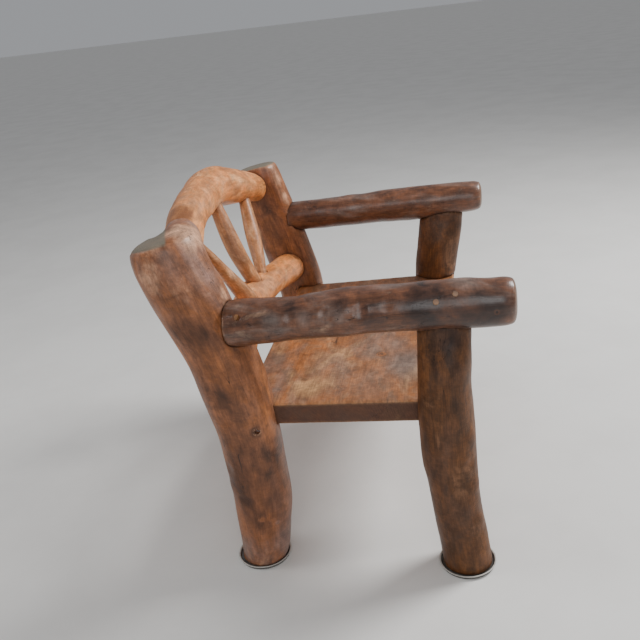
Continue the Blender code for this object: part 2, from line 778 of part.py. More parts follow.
def centre_on_origin():
    """Moves the chair so that its box stands centred on the origin."""
    bpy.context.view_layer.update()
    graph = bpy.context.evaluated_depsgraph_get()
    corners = []
    for thing in bpy.context.scene.objects:
        if not thing.hide_render:
            corners.extend(Vector(corner) for corner in thing.evaluated_get(graph).bound_box)
    for axis in (0, 1):
        values = [corner[axis] for corner in corners]
        shift = -(min(values) + max(values)) / 2
        for thing in bpy.context.scene.objects:
            thing.location[axis] += shift


def main():
    clear_scene()
    seat = seat_body("seat_slab", "waxed_slab")
    rails = add_fan_back()
    for side in SIDES:
        add_side(side, seat, rails)
    centre_on_origin()


main()
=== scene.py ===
"""Looks for the log armchair with a fan back.

Each log, the slab seat, the plugs, the screws and the foot cups get their finished shape and finish
here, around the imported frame. Metres, +Z up. The chair faces -Y, and the sitter's right is -X.
"""

from __future__ import annotations

import logging
import math
from dataclasses import dataclass, field
from enum import Enum
from typing import Iterable, NamedTuple

import bmesh
import bpy
import numpy as np
from mathutils import Matrix, Vector
from mathutils.bvhtree import BVHTree
from mathutils.kdtree import KDTree

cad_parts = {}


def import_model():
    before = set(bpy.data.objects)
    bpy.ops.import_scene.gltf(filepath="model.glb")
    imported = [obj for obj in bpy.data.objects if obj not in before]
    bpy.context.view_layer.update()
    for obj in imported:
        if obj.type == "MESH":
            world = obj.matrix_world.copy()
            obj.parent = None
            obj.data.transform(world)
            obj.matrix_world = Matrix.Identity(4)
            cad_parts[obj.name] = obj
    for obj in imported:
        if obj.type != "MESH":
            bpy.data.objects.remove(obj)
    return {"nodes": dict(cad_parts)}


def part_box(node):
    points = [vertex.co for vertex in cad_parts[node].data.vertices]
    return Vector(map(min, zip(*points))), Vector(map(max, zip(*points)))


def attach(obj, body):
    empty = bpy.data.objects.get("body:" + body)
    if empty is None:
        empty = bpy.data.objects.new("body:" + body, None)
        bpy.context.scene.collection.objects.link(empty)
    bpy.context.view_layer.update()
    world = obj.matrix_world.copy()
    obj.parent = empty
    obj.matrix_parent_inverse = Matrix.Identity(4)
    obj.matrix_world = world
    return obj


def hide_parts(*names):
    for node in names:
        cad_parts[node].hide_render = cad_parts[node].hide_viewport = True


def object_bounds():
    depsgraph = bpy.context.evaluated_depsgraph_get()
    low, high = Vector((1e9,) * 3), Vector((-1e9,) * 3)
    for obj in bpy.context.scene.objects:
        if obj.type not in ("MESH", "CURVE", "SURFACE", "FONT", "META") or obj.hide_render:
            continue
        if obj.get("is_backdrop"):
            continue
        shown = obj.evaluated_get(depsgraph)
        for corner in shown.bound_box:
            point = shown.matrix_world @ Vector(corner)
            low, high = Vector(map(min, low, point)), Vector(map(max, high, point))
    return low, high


LOG = logging.getLogger("log_armchair")
BODY = "root"

Array = np.ndarray
Limits = tuple[Array, Array]
Mesh = bpy.types.Mesh
BMesh = bmesh.types.BMesh
Thing = bpy.types.Object
Socket = bpy.types.NodeSocket
Layers = dict[str, Socket]
Place = tuple[float, float, float]
Span = tuple[float, float]

# The values that a piece stores for its finish, besides its grain
MARK_VALUES = ("cut", "wear", "joint_dirt_and_shade", "tone", "knot", "haze", "line")

# Screws and their bores, in metres

BORE_SIDES = 40
PLUG_BORE_RADIUS = 0.0059
PLUG_BORE_DEPTH = 0.0032
PLUG_RADIUS = 0.0056
PLUG_HEIGHT = 0.0029
PLUG_SEAT = 0.0028
SCREW_BORE_RADIUS = 0.0054
SCREW_HEAD_RADIUS = 0.0043
HEAD_CLEARANCE = 0.0002
BORE_OVERRUN = 0.020
MOUTH_HEIGHT = 0.008
MOUTH_SEARCH = 0.040
STOPPER_RADIUS = 0.0064
STOPPER_SIDES = 24
STOPPER_DEPTH = 0.006
PLUGGED_STOPPER = 0.0086
OPEN_STOPPER = 0.0074


class Axis(Enum):
    """The axis that a log runs along."""

    X = 0
    Y = 1
    Z = 2

    @property
    def others(self) -> list[int]:
        """The numbers of the two other axes."""
        return [k for k in range(3) if k != self.value]


class Cut(Enum):
    """How a log's inner side was left."""

    ROUND = "round"
    SAWN_FLAT = "sawn flat"


# Numbers over points

# The share of the way to its neighbours that sanding moves a point at a time
SANDING_STEP = 0.5
# How close two points of a mesh are to be one
WELD = 0.00001
# Turns the noise's cells out of the chair's axes
SKEW = np.array(Matrix.Rotation(0.9, 3, "X") @ Matrix.Rotation(0.6, 3, "Y") @ Matrix.Rotation(0.4, 3, "Z"))
NOISE_TABLE_SIZE = 4096
HASH_PRIMES = (73856093, 19349663, 83492791)


def soft_noise(points: Array, size: float, seed: int) -> Array:
    """Smooth random values over points.

    Args:
        points: An array of places, one row each.
        size: How wide a swell is, in the points' unit.
        seed: The number that fixes the pattern.

    Returns:
        One value from -1 to 1 for each point.
    """
    table = np.random.default_rng(seed).uniform(-1, 1, NOISE_TABLE_SIZE)
    cell = points @ SKEW / size
    base = np.floor(cell).astype(np.int64)
    part = cell - base
    blend = part**3 * (part * (part * 6 - 15) + 10)
    total = np.zeros(len(points))
    for corner in np.ndindex(2, 2, 2):
        x, y, z = ((base + corner) * HASH_PRIMES).T
        weight = np.prod(np.where(corner, blend, 1 - blend), axis=1)
        total += table[(x ^ y ^ z) % NOISE_TABLE_SIZE] * weight
    return total


def ramp(values: Array, low: float, high: float) -> Array:
    """A smooth step of values from 0 at low to 1 at high."""
    share = np.clip((values - low) / (high - low), 0, 1)
    return share * share * (3 - 2 * share)


def rows(items: object, label: str, width: int, kind: type = np.float32) -> Array:
    """One row of numbers for each of a mesh's points or edges.

    Args:
        items: The mesh's vertices, normals or edges.
        label: The property's name.
        width: How many numbers a row has.
        kind: The numbers' type.

    Returns:
        The numbers, one row for each item.
    """
    flat = np.empty(len(items) * width, dtype=kind)
    items.foreach_get(label, flat)
    return flat.reshape(-1, width)


def mesh_points(mesh: Mesh) -> Array:
    """A mesh's points, one row each."""
    return rows(mesh.vertices, "co", 3).astype(float)


def mesh_edges(mesh: Mesh) -> Array:
    """A mesh's edges as pairs of point numbers."""
    return rows(mesh.edges, "vertices", 2, np.int32)


def mesh_normals(mesh: Mesh) -> Array:
    """The normals of a mesh's points."""
    return rows(mesh.vertex_normals, "vector", 3).astype(float)


def put_points(mesh: Mesh, points: Array) -> None:
    """Moves a mesh's points."""
    mesh.vertices.foreach_set("co", points.astype(np.float32).ravel())
    mesh.update()


def neighbour_mean(values: Array, edges: Array) -> Array:
    """The mean of each point's neighbours.

    Args:
        values: One row of numbers for each point.
        edges: Pairs of point numbers.

    Returns:
        An array of the values' shape.
    """
    count = len(values)
    ends = np.concatenate([edges[:, 0], edges[:, 1]])
    others = np.concatenate([edges[:, 1], edges[:, 0]])
    share = np.maximum(np.bincount(ends, minlength=count), 1)
    columns = [np.bincount(ends, weights=column[others], minlength=count) for column in values.T]
    return np.stack(columns, axis=1) / share[:, None]


def blurred(values: Array, edges: Array, rounds: int) -> Array:
    """One number for each point, averaged over the neighbours a few times.

    Args:
        values: The numbers.
        edges: Pairs of point numbers.
        rounds: How often.

    Returns:
        The new numbers.
    """
    for _ in range(rounds):
        values = neighbour_mean(values[:, None], edges)[:, 0]
    return values


def relaxed(points: Array, edges: Array, weight: Array, rounds: int) -> Array:
    """Points eased towards their neighbours, as sanding eases a log.

    Args:
        points: The places.
        edges: Pairs of point numbers.
        weight: How far each point takes part, 0 to 1.
        rounds: How often.

    Returns:
        The new places.
    """
    for _ in range(rounds):
        points = points + (neighbour_mean(points, edges) - points) * (SANDING_STEP * weight[:, None])
    return points


def set_values(mesh: Mesh, name: str, values: Array) -> None:
    """Stores a number or a vector for each point under a name that the finishes read.

    Args:
        mesh: The mesh.
        name: The attribute's name.
        values: One number or one row of three for each point.
    """
    vector = values.ndim == 2
    attribute = mesh.attributes.new(name, "FLOAT_VECTOR" if vector else "FLOAT", "POINT")
    attribute.data.foreach_set("vector" if vector else "value", values.astype(np.float32).ravel())


def tint(code: str) -> tuple[float, float, float, float]:
    """A colour code such as #C98D62 as a linear colour.

    Args:
        code: The code.

    Returns:
        Red, green, blue and 1.
    """
    shares = [int(code[k : k + 2], 16) / 255 for k in (1, 3, 5)]
    linear = [share / 12.92 if share <= 0.04045 else ((share + 0.055) / 1.055) ** 2.4 for share in shares]
    return (*linear, 1.0)


# Shader building


@dataclass
class Nodes:
    """A short way to add and join a tree's nodes."""

    tree: bpy.types.NodeTree

    def fill(self, socket: Socket, value: object) -> None:
        """Links a node's input to a socket, or sets it to a plain value.

        Args:
            socket: The input.
            value: A socket to link it to, or its own value.
        """
        if isinstance(value, Socket):
            self.tree.links.new(value, socket)
        else:
            socket.default_value = value

    def add(self, kind: str, inputs: dict | None = None, **settings: object) -> bpy.types.Node:
        """Adds a node.

        Args:
            kind: The node's type name.
            inputs: Values or sockets for its inputs, by name or number.
            **settings: The node's own settings.

        Returns:
            The node.
        """
        node = self.tree.nodes.new(kind)
        for key, value in settings.items():
            setattr(node, key, value)
        for key, value in (inputs or {}).items():
            self.fill(node.inputs[key], value)
        return node

    def math(self, operation: str, *values: object) -> Socket:
        """A Math node's result."""
        return self.add("ShaderNodeMath", dict(enumerate(values)), operation=operation).outputs[0]

    def times(self, first: object, second: object) -> Socket:
        """One value times another."""
        return self.math("MULTIPLY", first, second)

    def plus(self, first: object, second: object) -> Socket:
        """The sum of two values."""
        return self.math("ADD", first, second)

    def total(self, start: object, *layers: tuple[Socket, float]) -> Socket:
        """A value with layers added to it, each with its own weight.

        Args:
            start: The value.
            *layers: Sockets with their weights.

        Returns:
            The sum.
        """
        for layer, weight in layers:
            start = self.plus(start, self.times(layer, weight))
        return start

    def vector(self, operation: str, first: object, second: object) -> Socket:
        """A Vector Math node's vector."""
        return self.add("ShaderNodeVectorMath", {0: first, 1: second}, operation=operation).outputs[0]

    def length(self, vector: Socket) -> Socket:
        """A vector's length."""
        return self.add("ShaderNodeVectorMath", {0: vector}, operation="LENGTH").outputs["Value"]

    def drawn(self, grain: Socket, along: float, across: float = 1.0) -> Socket:
        """Places in a log squeezed along and across it, which draws a pattern out along the log."""
        return self.vector("MULTIPLY", grain, (across, across, along))

    def spread(
        self, value: object, low: float, high: float, to_low: float = 0, to_high: float = 1
    ) -> Socket:
        """A value moved smoothly from one range to another."""
        inputs = {"Value": value, "From Min": low, "From Max": high, "To Min": to_low, "To Max": to_high}
        return self.add("ShaderNodeMapRange", inputs, interpolation_type="SMOOTHSTEP", clamp=True).outputs[0]

    def mix(self, factor: object, first: object, second: object, blend: str = "MIX") -> Socket:
        """A colour between two."""
        inputs = {0: factor, 6: first, 7: second}
        return self.add("ShaderNodeMix", inputs, data_type="RGBA", blend_type=blend).outputs[2]

    def shade(self, colour: object, value: Socket, share: float = 1.0) -> Socket:
        """A colour times a value near 1."""
        grey = self.add("ShaderNodeCombineColor", {0: value, 1: value, 2: value}).outputs[0]
        return self.mix(share, colour, grey, "MULTIPLY")

    def noise(
        self, vector: Socket, scale: object, detail: float = 3, rough: float = 0.5, twist: float = 0,
        give: str = "Fac",
    ) -> Socket:
        """A noise texture's value or colour."""
        inputs = dict(Vector=vector, Scale=scale, Detail=detail, Roughness=rough, Distortion=twist)
        return self.add("ShaderNodeTexNoise", inputs).outputs[give]


def wood_figure() -> bpy.types.NodeTree:
    """The figure of solid wood, from a point's place in its log: u and v from the pith, s along it.

    Returns:
        The shader node group, made once.
    """
    name = "wood_figure"
    group = bpy.data.node_groups.get(name)
    if group:
        return group
    group = bpy.data.node_groups.new(name, "ShaderNodeTree")
    group.interface.new_socket(name="Grain", in_out="INPUT", socket_type="NodeSocketVector")
    for label, default in (("Ring Width", 0.0045), ("Mottle Size", 0.06), ("Wander", 0.004)):
        socket = group.interface.new_socket(name=label, in_out="INPUT", socket_type="NodeSocketFloat")
        socket.default_value = default
    nodes = Nodes(group)
    entry = nodes.add("NodeGroupInput").outputs
    grain = entry["Grain"]

    drift = nodes.noise(nodes.drawn(grain, 0.16), 22, 2, give="Color")
    push = nodes.vector("SUBTRACT", drift, (0.5, 0.5, 0.5))
    shift = nodes.add("ShaderNodeVectorMath", {0: push, "Scale": entry["Wander"]}, operation="SCALE")
    moved = nodes.vector("ADD", grain, shift.outputs[0])

    flat = nodes.drawn(moved, 0)
    turn = nodes.math("DIVIDE", nodes.length(flat), entry["Ring Width"])
    turn = nodes.plus(turn, nodes.times(nodes.noise(flat, 45, 2), 3.0))
    fibres = nodes.times(nodes.noise(nodes.drawn(moved, 0.045), 420, 3, 0.6), 0.55)
    broad = nodes.noise(nodes.drawn(moved, 0.10), 70, 3, 0.55)
    mottle_scale = nodes.math("DIVIDE", 1.0, entry["Mottle Size"])
    stain_scale = nodes.times(mottle_scale, 0.45)
    split = nodes.math("SUBTRACT", nodes.noise(nodes.drawn(moved, 0.07), 34, 2, 0.45), 0.5)
    ridge = nodes.spread(nodes.math("ABSOLUTE", split), 0.0035, 0.0005)
    results = {
        "Rings": nodes.math("POWER", nodes.math("FRACT", turn), 2.2),
        "Fibres": nodes.total(fibres, (broad, 0.45)),
        "Mottle": nodes.noise(nodes.drawn(grain, 0.62), mottle_scale, 6, 0.62, 0.6),
        "Stain": nodes.noise(nodes.drawn(grain, 0.5, 1.3), stain_scale, 5, 0.6, 1.1),
        "Curl": nodes.noise(nodes.drawn(grain, 1, 0.35), 190, 2, 0.5, 0.8),
        "Checks": nodes.times(ridge, nodes.spread(nodes.noise(grain, 9, 1), 0.56, 0.66)),
        "Pores": nodes.spread(nodes.noise(nodes.drawn(moved, 0.05), 1500, 1, 0.5), 0.66, 0.74),
    }
    for label in results:
        group.interface.new_socket(name=label, in_out="OUTPUT", socket_type="NodeSocketFloat")
    nodes.add("NodeGroupOutput", results)
    return group


@dataclass(frozen=True)
class Finish:
    """A named finish, built in code."""

    name: str

    def material(self) -> bpy.types.Material:
        """The finish as a material, made once.

        Returns:
            The material, under the finish's name.
        """
        material = bpy.data.materials.get(self.name)
        if material is None:
            material = bpy.data.materials.new(self.name)
            material.use_nodes = True
            nodes = Nodes(material.node_tree)
            shader = material.node_tree.nodes["Principled BSDF"]
            for label, value in self.inputs(nodes).items():
                nodes.fill(shader.inputs[label], value)
        return material

    def inputs(self, nodes: Nodes) -> dict[str, object]:
        """What goes into the shader, by the name of its input."""
        raise NotImplementedError


@dataclass(frozen=True)
class WaxedWood(Finish):
    """Peeled or sawn hardwood under wax: mottled browns, darker near its joints with other parts (dirt there
    and painted shade) and paler on its worn edges.
    """

    base: str
    warm: str
    pale: str
    dark: str
    cool: str
    end_grain: str = "#7A6248"
    knot_eye: str = "#2A1811"
    check: str = "#24150F"
    ring_width: float = 0.0045
    mottle_size: float = 0.060
    stain_share: float = 0.65
    roughness: float = 0.40
    coat: float = 0.12
    specular: float = 0.38
    bump: float = 0.6
    fibre_share: float = 0.20
    ring_share: float = 0.35
    saw_arcs: float = 0.0
    saw_centre: Place = (0.0, -0.62, 0.35)
    saw_waves: float = 1150.0
    coat_roughness: float = 0.24
    relief_depth: float = 0.0011
    knot_waves: float = 17.0

    def inputs(self, nodes: Nodes) -> dict[str, object]:
        """The wood's colour, gloss and relief, read from the figure and from the piece's own values.

        Args:
            nodes: The material's nodes.

        Returns:
            Values and sockets for the shader's inputs.
        """
        grain = nodes.add("ShaderNodeAttribute", attribute_name="grain").outputs["Vector"]
        own = {"Grain": grain, "Ring Width": self.ring_width, "Mottle Size": self.mottle_size}
        figure = nodes.add("ShaderNodeGroup", own, node_tree=wood_figure())
        layers = {socket.name: socket for socket in figure.outputs}
        for label in MARK_VALUES:
            layers[label] = nodes.add("ShaderNodeAttribute", attribute_name=label).outputs["Fac"]
        wood = WoodNodes(nodes.tree, self, layers, grain)
        return {
            "Base Color": wood.colour(),
            "Roughness": wood.gloss(),
            "Normal": wood.relief(),
            "Coat Weight": self.coat,
            "Coat Roughness": self.coat_roughness,
            "Specular IOR Level": self.specular,
        }


@dataclass
class WoodNodes(Nodes):
    """The nodes of a waxed wood, over its figure and the values that a piece stores for it."""

    wood: WaxedWood
    layers: Layers
    grain: Socket

    def arcs(self) -> Socket:
        """The fine arcs that a round saw leaves on the long faces, as a value from 0 to 1.

        Returns:
            The value.
        """
        away = self.vector("MULTIPLY", self.vector("SUBTRACT", self.grain, self.wood.saw_centre), (0, 1, 1))
        shake = self.times(self.noise(self.grain, 18, 2), 0.006)
        waves = self.math("SINE", self.times(self.plus(self.length(away), shake), self.wood.saw_waves))
        patch = self.spread(self.noise(self.grain, 7, 2), 0.45, 0.62)
        arcs = self.times(self.spread(waves, -0.2, 1.0), patch)
        return self.times(arcs, self.math("SUBTRACT", 1.0, self.layers["cut"]))

    def colour(self) -> Socket:
        """The wood's colour, built up from its broad figure to its marks.

        Returns:
            The colour.
        """
        wood, layers = self.wood, self.layers
        dark = tint(wood.dark)
        smudge = self.noise(self.drawn(self.grain, 0.4), 100, 5, 0.6, 0.5)
        cloud = self.noise(self.drawn(self.grain, 0.6), 30, 4, 0.6, 0.8)
        streaks = self.spread(layers["Fibres"], 0.36, 0.64, 1 - wood.fibre_share, 1 + wood.fibre_share)
        colour = self.shade(self.browns(), streaks)
        colour = self.shade(colour, self.spread(layers["Rings"], 0, 1, 1.10, 0.72), wood.ring_share)
        colour = self.mix(self.haze(), colour, tint(wood.cool))
        colour = self.mix(self.times(self.spread(layers["Stain"], 0.46, 0.26), 0.55), colour, dark)
        colour = self.shade(colour, self.spread(layers["Curl"], 0.35, 0.65, 0.86, 1.14), 0.6)
        colour = self.shade(colour, self.spread(smudge, 0.3, 0.7, 0.84, 1.16))
        colour = self.shade(colour, self.spread(cloud, 0.3, 0.7, 0.74, 1.24))
        if wood.saw_arcs:
            scratches = self.spread(self.arcs(), 0, 1, 0.94, 1.24)
            colour = self.shade(colour, scratches, wood.saw_arcs)
        # Negative tone darkens towards the dark brown; some marks use it for painted shade.
        colour = self.mix(self.spread(layers["tone"], -0.15, -1.4, 0.0, 0.60), colour, dark)
        end = self.shade(tint(wood.end_grain), self.spread(layers["Rings"], 0.1, 1.0, 1.06, 0.80))
        worn = self.times(layers["wear"], self.spread(smudge, 0.35, 0.6, 0.3, 0.8))
        for place, strength, paint in (
            (self.spread(layers["knot"], 0.05, 0.45), 0.75, self.knot(smudge)),
            (layers["cut"], 0.85, end),
            (layers["Checks"], 0.85, tint(wood.check)),
            (layers["Pores"], 0.30, dark),
            (layers["line"], 0.80, dark),
            (worn, 1.0, tint(wood.pale)),
            # Darker near the joints with other parts: dirt there and painted shade.
            (layers["joint_dirt_and_shade"], 0.55, dark),
        ):
            colour = self.mix(self.times(place, strength), colour, paint)
        return colour

    def browns(self) -> Socket:
        """The broad run of browns, moved up or down by the tone of the piece's marks.

        Returns:
            The colour.
        """
        level = self.total(self.layers["Mottle"], (self.layers["tone"], 0.16))
        node = self.add("ShaderNodeValToRGB", {"Fac": level})
        stops = node.color_ramp.elements
        stops[0].position, stops[0].color = 0.24, tint(self.wood.dark)
        stops[1].position, stops[1].color = 0.80, tint(self.wood.pale)
        for place, code in ((0.40, self.wood.base), (0.50, self.wood.warm), (0.60, self.wood.base)):
            stops.new(place).color = tint(code)
        return node.outputs["Color"]

    def haze(self) -> Socket:
        """Where the wood looks grey: in the stain's patches and at the marks, which include a painted sheen
        on the arms and painted grey shade on the legs under them.

        Returns:
            The grey's share.
        """
        layers = self.layers
        haze = self.times(self.spread(layers["Stain"], 0.46, 0.70), self.wood.stain_share)
        haze = self.times(haze, self.spread(layers["tone"], -0.6, 0.0, 0.3, 1.0))
        haze = self.times(haze, self.spread(layers["tone"], 0.5, 1.4, 1.0, 0.25))
        cloudy = self.spread(layers["Mottle"], 0.30, 0.55, 0.4, 1.0)
        return self.math("MAXIMUM", haze, self.times(layers["haze"], cloudy))

    def knot(self, smudge: Socket) -> Socket:
        """A knot's wavy rings and its dark eye.

        Args:
            smudge: The noise that bends the rings.

        Returns:
            The colour.
        """
        waves = self.math("SINE", self.times(self.plus(self.layers["knot"], smudge), self.wood.knot_waves))
        rings = self.mix(self.spread(waves, -0.8, 0.8), tint(self.wood.dark), tint(self.wood.warm))
        return self.mix(self.spread(self.layers["knot"], 0.72, 0.95), rings, tint(self.wood.knot_eye))

    def gloss(self) -> Socket:
        """Where the wax shines and where it is worn dull.

        Returns:
            The roughness.
        """
        layers, rough = self.layers, self.wood.roughness
        level = self.spread(layers["Mottle"], 0.3, 0.7, rough - 0.07, rough + 0.09)
        return self.total(level, (layers["cut"], 0.18), (layers["Fibres"], 0.08), (layers["joint_dirt_and_shade"], 0.15))

    def relief(self) -> Socket:
        """The fine relief of fibres, tool marks, checks and pores.

        Returns:
            The bent normal.
        """
        layers = self.layers
        bumps = self.noise(self.grain, 60, 3)
        hollow = self.spread(layers["knot"], 0.5, 0.95)
        height = self.total(
            0.0, (layers["Fibres"], 0.5), (layers["Curl"], 0.5), (bumps, 0.8), (layers["Checks"], -1.4),
            (hollow, -0.8), (layers["Pores"], -0.25),
        )
        if self.wood.saw_arcs:
            height = self.total(height, (self.arcs(), 0.35))
        inputs = {"Strength": self.wood.bump, "Distance": self.wood.relief_depth, "Height": height}
        return self.add("ShaderNodeBump", inputs).outputs["Normal"]


@dataclass(frozen=True)
class PlainFinish(Finish):
    """A small part's finish: one colour broken up by fine noise, worn lighter or darker in patches, with a
    paler rim band where it has one.
    """

    colour: str
    second: str
    roughness: float
    metallic: float = 0.0
    grain_scale: float = 90.0
    stretch: Place = (1.0, 1.0, 1.0)
    bump: float = 0.2
    coat: float = 0.0
    relief_depth: float = 0.0004
    # The rim band's colour: partly the rim's own paler plastic, partly a painted highlight
    rim: str | None = None
    rim_heights: Span = (0.004, 0.008)

    def inputs(self, nodes: Nodes) -> dict[str, object]:
        """The patchy colour and gloss and a fine relief.

        Args:
            nodes: The material's nodes.

        Returns:
            Values and sockets for the shader's inputs.
        """
        spot = nodes.add("ShaderNodeTexCoord").outputs["Object"]
        place = nodes.vector("MULTIPLY", spot, self.stretch)
        patches = nodes.noise(place, self.grain_scale, 4, 0.6)
        fine = nodes.noise(place, self.grain_scale * 7, 3, 0.6)
        colour = nodes.mix(nodes.spread(patches, 0.35, 0.68), tint(self.colour), tint(self.second))
        # A paler band round the rim's top: partly its own colour, partly a painted highlight where it
        # catches the light.
        if self.rim:
            height = nodes.add("ShaderNodeSeparateXYZ", {0: spot}).outputs["Z"]
            edge = nodes.spread(height, *self.rim_heights)
            edge = nodes.times(edge, nodes.spread(patches, 0.25, 0.5, 0.7, 1.0))
            colour = nodes.mix(edge, colour, tint(self.rim))
        relief = {"Strength": self.bump, "Distance": self.relief_depth, "Height": fine}
        return {
            "Base Color": colour,
            "Roughness": nodes.spread(patches, 0.3, 0.7, self.roughness - 0.06, self.roughness + 0.08),
            "Normal": nodes.add("ShaderNodeBump", relief).outputs["Normal"],
            "Metallic": self.metallic,
            "Coat Weight": self.coat,
        }


# Geometry helpers


def world_points(thing: Thing) -> Array:
    """A frame node's points in the row frame, each once.

    Args:
        thing: The node.

    Returns:
        The points, one row each.
    """
    matrix = np.array(thing.matrix_world)
    points = mesh_points(thing.data) @ matrix[:3, :3].T + matrix[:3, 3]
    return np.unique(points.round(7), axis=0)


def solid_copy(thing: Thing) -> BMesh:
    """A frame node's solid in the row frame, its loose triangles joined.

    Args:
        thing: The node.

    Returns:
        The joined copy.
    """
    bm = bmesh.new()
    bm.from_mesh(thing.data)
    bm.transform(thing.matrix_world)
    bmesh.ops.remove_doubles(bm, verts=bm.verts, dist=WELD)
    return bm


def new_object(name: str, source: Mesh | BMesh) -> Thing:
    """A new object that shows a mesh, or a BMesh's shape, which is freed.

    Args:
        name: The object's name.
        source: The mesh.

    Returns:
        The object, in the scene.
    """
    mesh = source
    if isinstance(source, BMesh):
        mesh = bpy.data.meshes.new(name)
        source.to_mesh(mesh)
        source.free()
    thing = bpy.data.objects.new(name, mesh)
    bpy.context.collection.objects.link(thing)
    return thing


def evaluated_mesh(thing: Thing) -> Mesh:
    """The thing's mesh as its modifiers leave it.

    Args:
        thing: The object.

    Returns:
        A plain mesh.
    """
    bpy.context.view_layer.update()
    graph = bpy.context.evaluated_depsgraph_get()
    return bpy.data.meshes.new_from_object(thing.evaluated_get(graph))


def baked(thing: Thing, name: str) -> Thing:
    """The thing's finished shape as a plain new object; the old one is removed.

    Args:
        thing: An object whose modifiers are live.
        name: The new object's name.

    Returns:
        The new object.
    """
    mesh = evaluated_mesh(thing)
    mesh.name = name
    bpy.data.objects.remove(thing, do_unlink=True)
    return new_object(name, mesh)


def nearest_distance(points: Array, places: Array) -> Array:
    """The distance from each point to the nearest place.

    Args:
        points: The points.
        places: The places.

    Returns:
        One distance for each point.
    """
    tree = KDTree(len(places))
    for index, place in enumerate(places):
        tree.insert(place, index)
    tree.balance()
    return np.array([tree.find(point)[2] for point in points])


def upright(run: Vector) -> Matrix:
    """The turn that lays +Z along a direction."""
    return run.to_track_quat("Z", "Y").to_matrix().to_4x4()


def add_rod(bm: BMesh, start: Vector, stop: Vector, radius: float, sides: int, tip: float = 0.0) -> None:
    """Adds a closed round rod to a mesh.

    Args:
        bm: The mesh.
        start: The middle of the rod's first end.
        stop: The middle of its other end.
        radius: The rod's radius.
        sides: The number of its sides.
        tip: The radius at its other end, where the rod tapers.
    """
    run = stop - start
    place = Matrix.Translation((start + stop) / 2) @ upright(run)
    size = {"radius1": radius, "radius2": tip or radius, "depth": run.length}
    bmesh.ops.create_cone(bm, cap_ends=True, segments=sides, matrix=place, **size)


def bore(piece: Thing, start: Vector, stop: Vector, radius: float) -> None:
    """Cuts a clean round hole into a finished piece.

    Args:
        piece: The piece.
        start: The hole's bottom.
        stop: A place outside its mouth.
        radius: Its radius.
    """
    bm = bmesh.new()
    add_rod(bm, start, stop, radius, BORE_SIDES)
    tool = new_object("bore", bm)
    modifier = piece.modifiers.new("Bore", "BOOLEAN")
    modifier.operation = "DIFFERENCE"
    modifier.solver = "EXACT"
    modifier.object = tool
    cut = evaluated_mesh(piece)
    piece.modifiers.clear()
    piece.data = cut
    bpy.data.objects.remove(tool, do_unlink=True)


@dataclass(frozen=True)
class ScrewLine:
    """Where a screw sits: its head's middle and the direction in which it was driven."""

    head: Vector
    run: Vector
    length: float

    @classmethod
    def of(cls, screw: Thing) -> ScrewLine:
        """Finds the line of one of the frame's screws.

        Args:
            screw: The screw's node.

        Returns:
            Its line.
        """
        points = world_points(screw)
        middle = points.mean(axis=0)
        run = np.linalg.svd(points - middle, full_matrices=False)[2][0]
        along = (points - middle) @ run
        off = np.linalg.norm((points - middle) - along[:, None] * run, axis=1)
        if along[off.argmax()] > 0:
            run, along = -run, -along
        return cls(Vector(middle + run * along.min()), Vector(run), float(np.ptp(along)))

    def out(self, distance: float) -> Vector:
        """The point that far outside the head."""
        return self.head - self.run * distance

    def mouth(self, piece: Thing) -> Vector:
        """Where the line meets the piece's surface, coming from outside."""
        hit, place, _, _ = piece.ray_cast(self.out(MOUTH_SEARCH), self.run, distance=2 * MOUTH_SEARCH)
        return place if hit else self.out(MOUTH_HEIGHT)

    def standing(self, foot: Vector) -> Matrix:
        """The place of a turned part that stands on the foot and faces out of the bore."""
        return Matrix.Translation(foot) @ upright(-self.run)


# Logs


@dataclass
class Surroundings:
    """The frame's solids, to tell how near a point is to its neighbours, and the box round them all."""

    nodes: dict[str, Thing]
    limits: Limits
    trees: dict[str, BVHTree] = field(default_factory=dict)

    def tree(self, name: str) -> BVHTree:
        """A node's search tree, made once.

        Args:
            name: The node.

        Returns:
            The tree.
        """
        if name not in self.trees:
            bm = solid_copy(self.nodes[name])
            self.trees[name] = BVHTree.FromBMesh(bm)
            bm.free()
        return self.trees[name]

    def nearness(self, points: Array, neighbours: Iterable[str], reach: float) -> Array:
        """How close each point is to any of the neighbours.

        Args:
            points: The places.
            neighbours: Node names.
            reach: The distance at which nothing is near any more.

        Returns:
            1 in contact, falling to 0 at the reach.
        """
        near = np.zeros(len(points))
        for name in neighbours:
            low, high = (np.array(corner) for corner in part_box(name))
            inside = np.all((points > low - reach) & (points < high + reach), axis=1)
            tree = self.tree(name)
            for index in np.flatnonzero(inside):
                distance = tree.find_nearest(Vector(points[index]), reach)[3]
                if distance is not None:
                    near[index] = max(near[index], 1 - distance / reach)
        return near


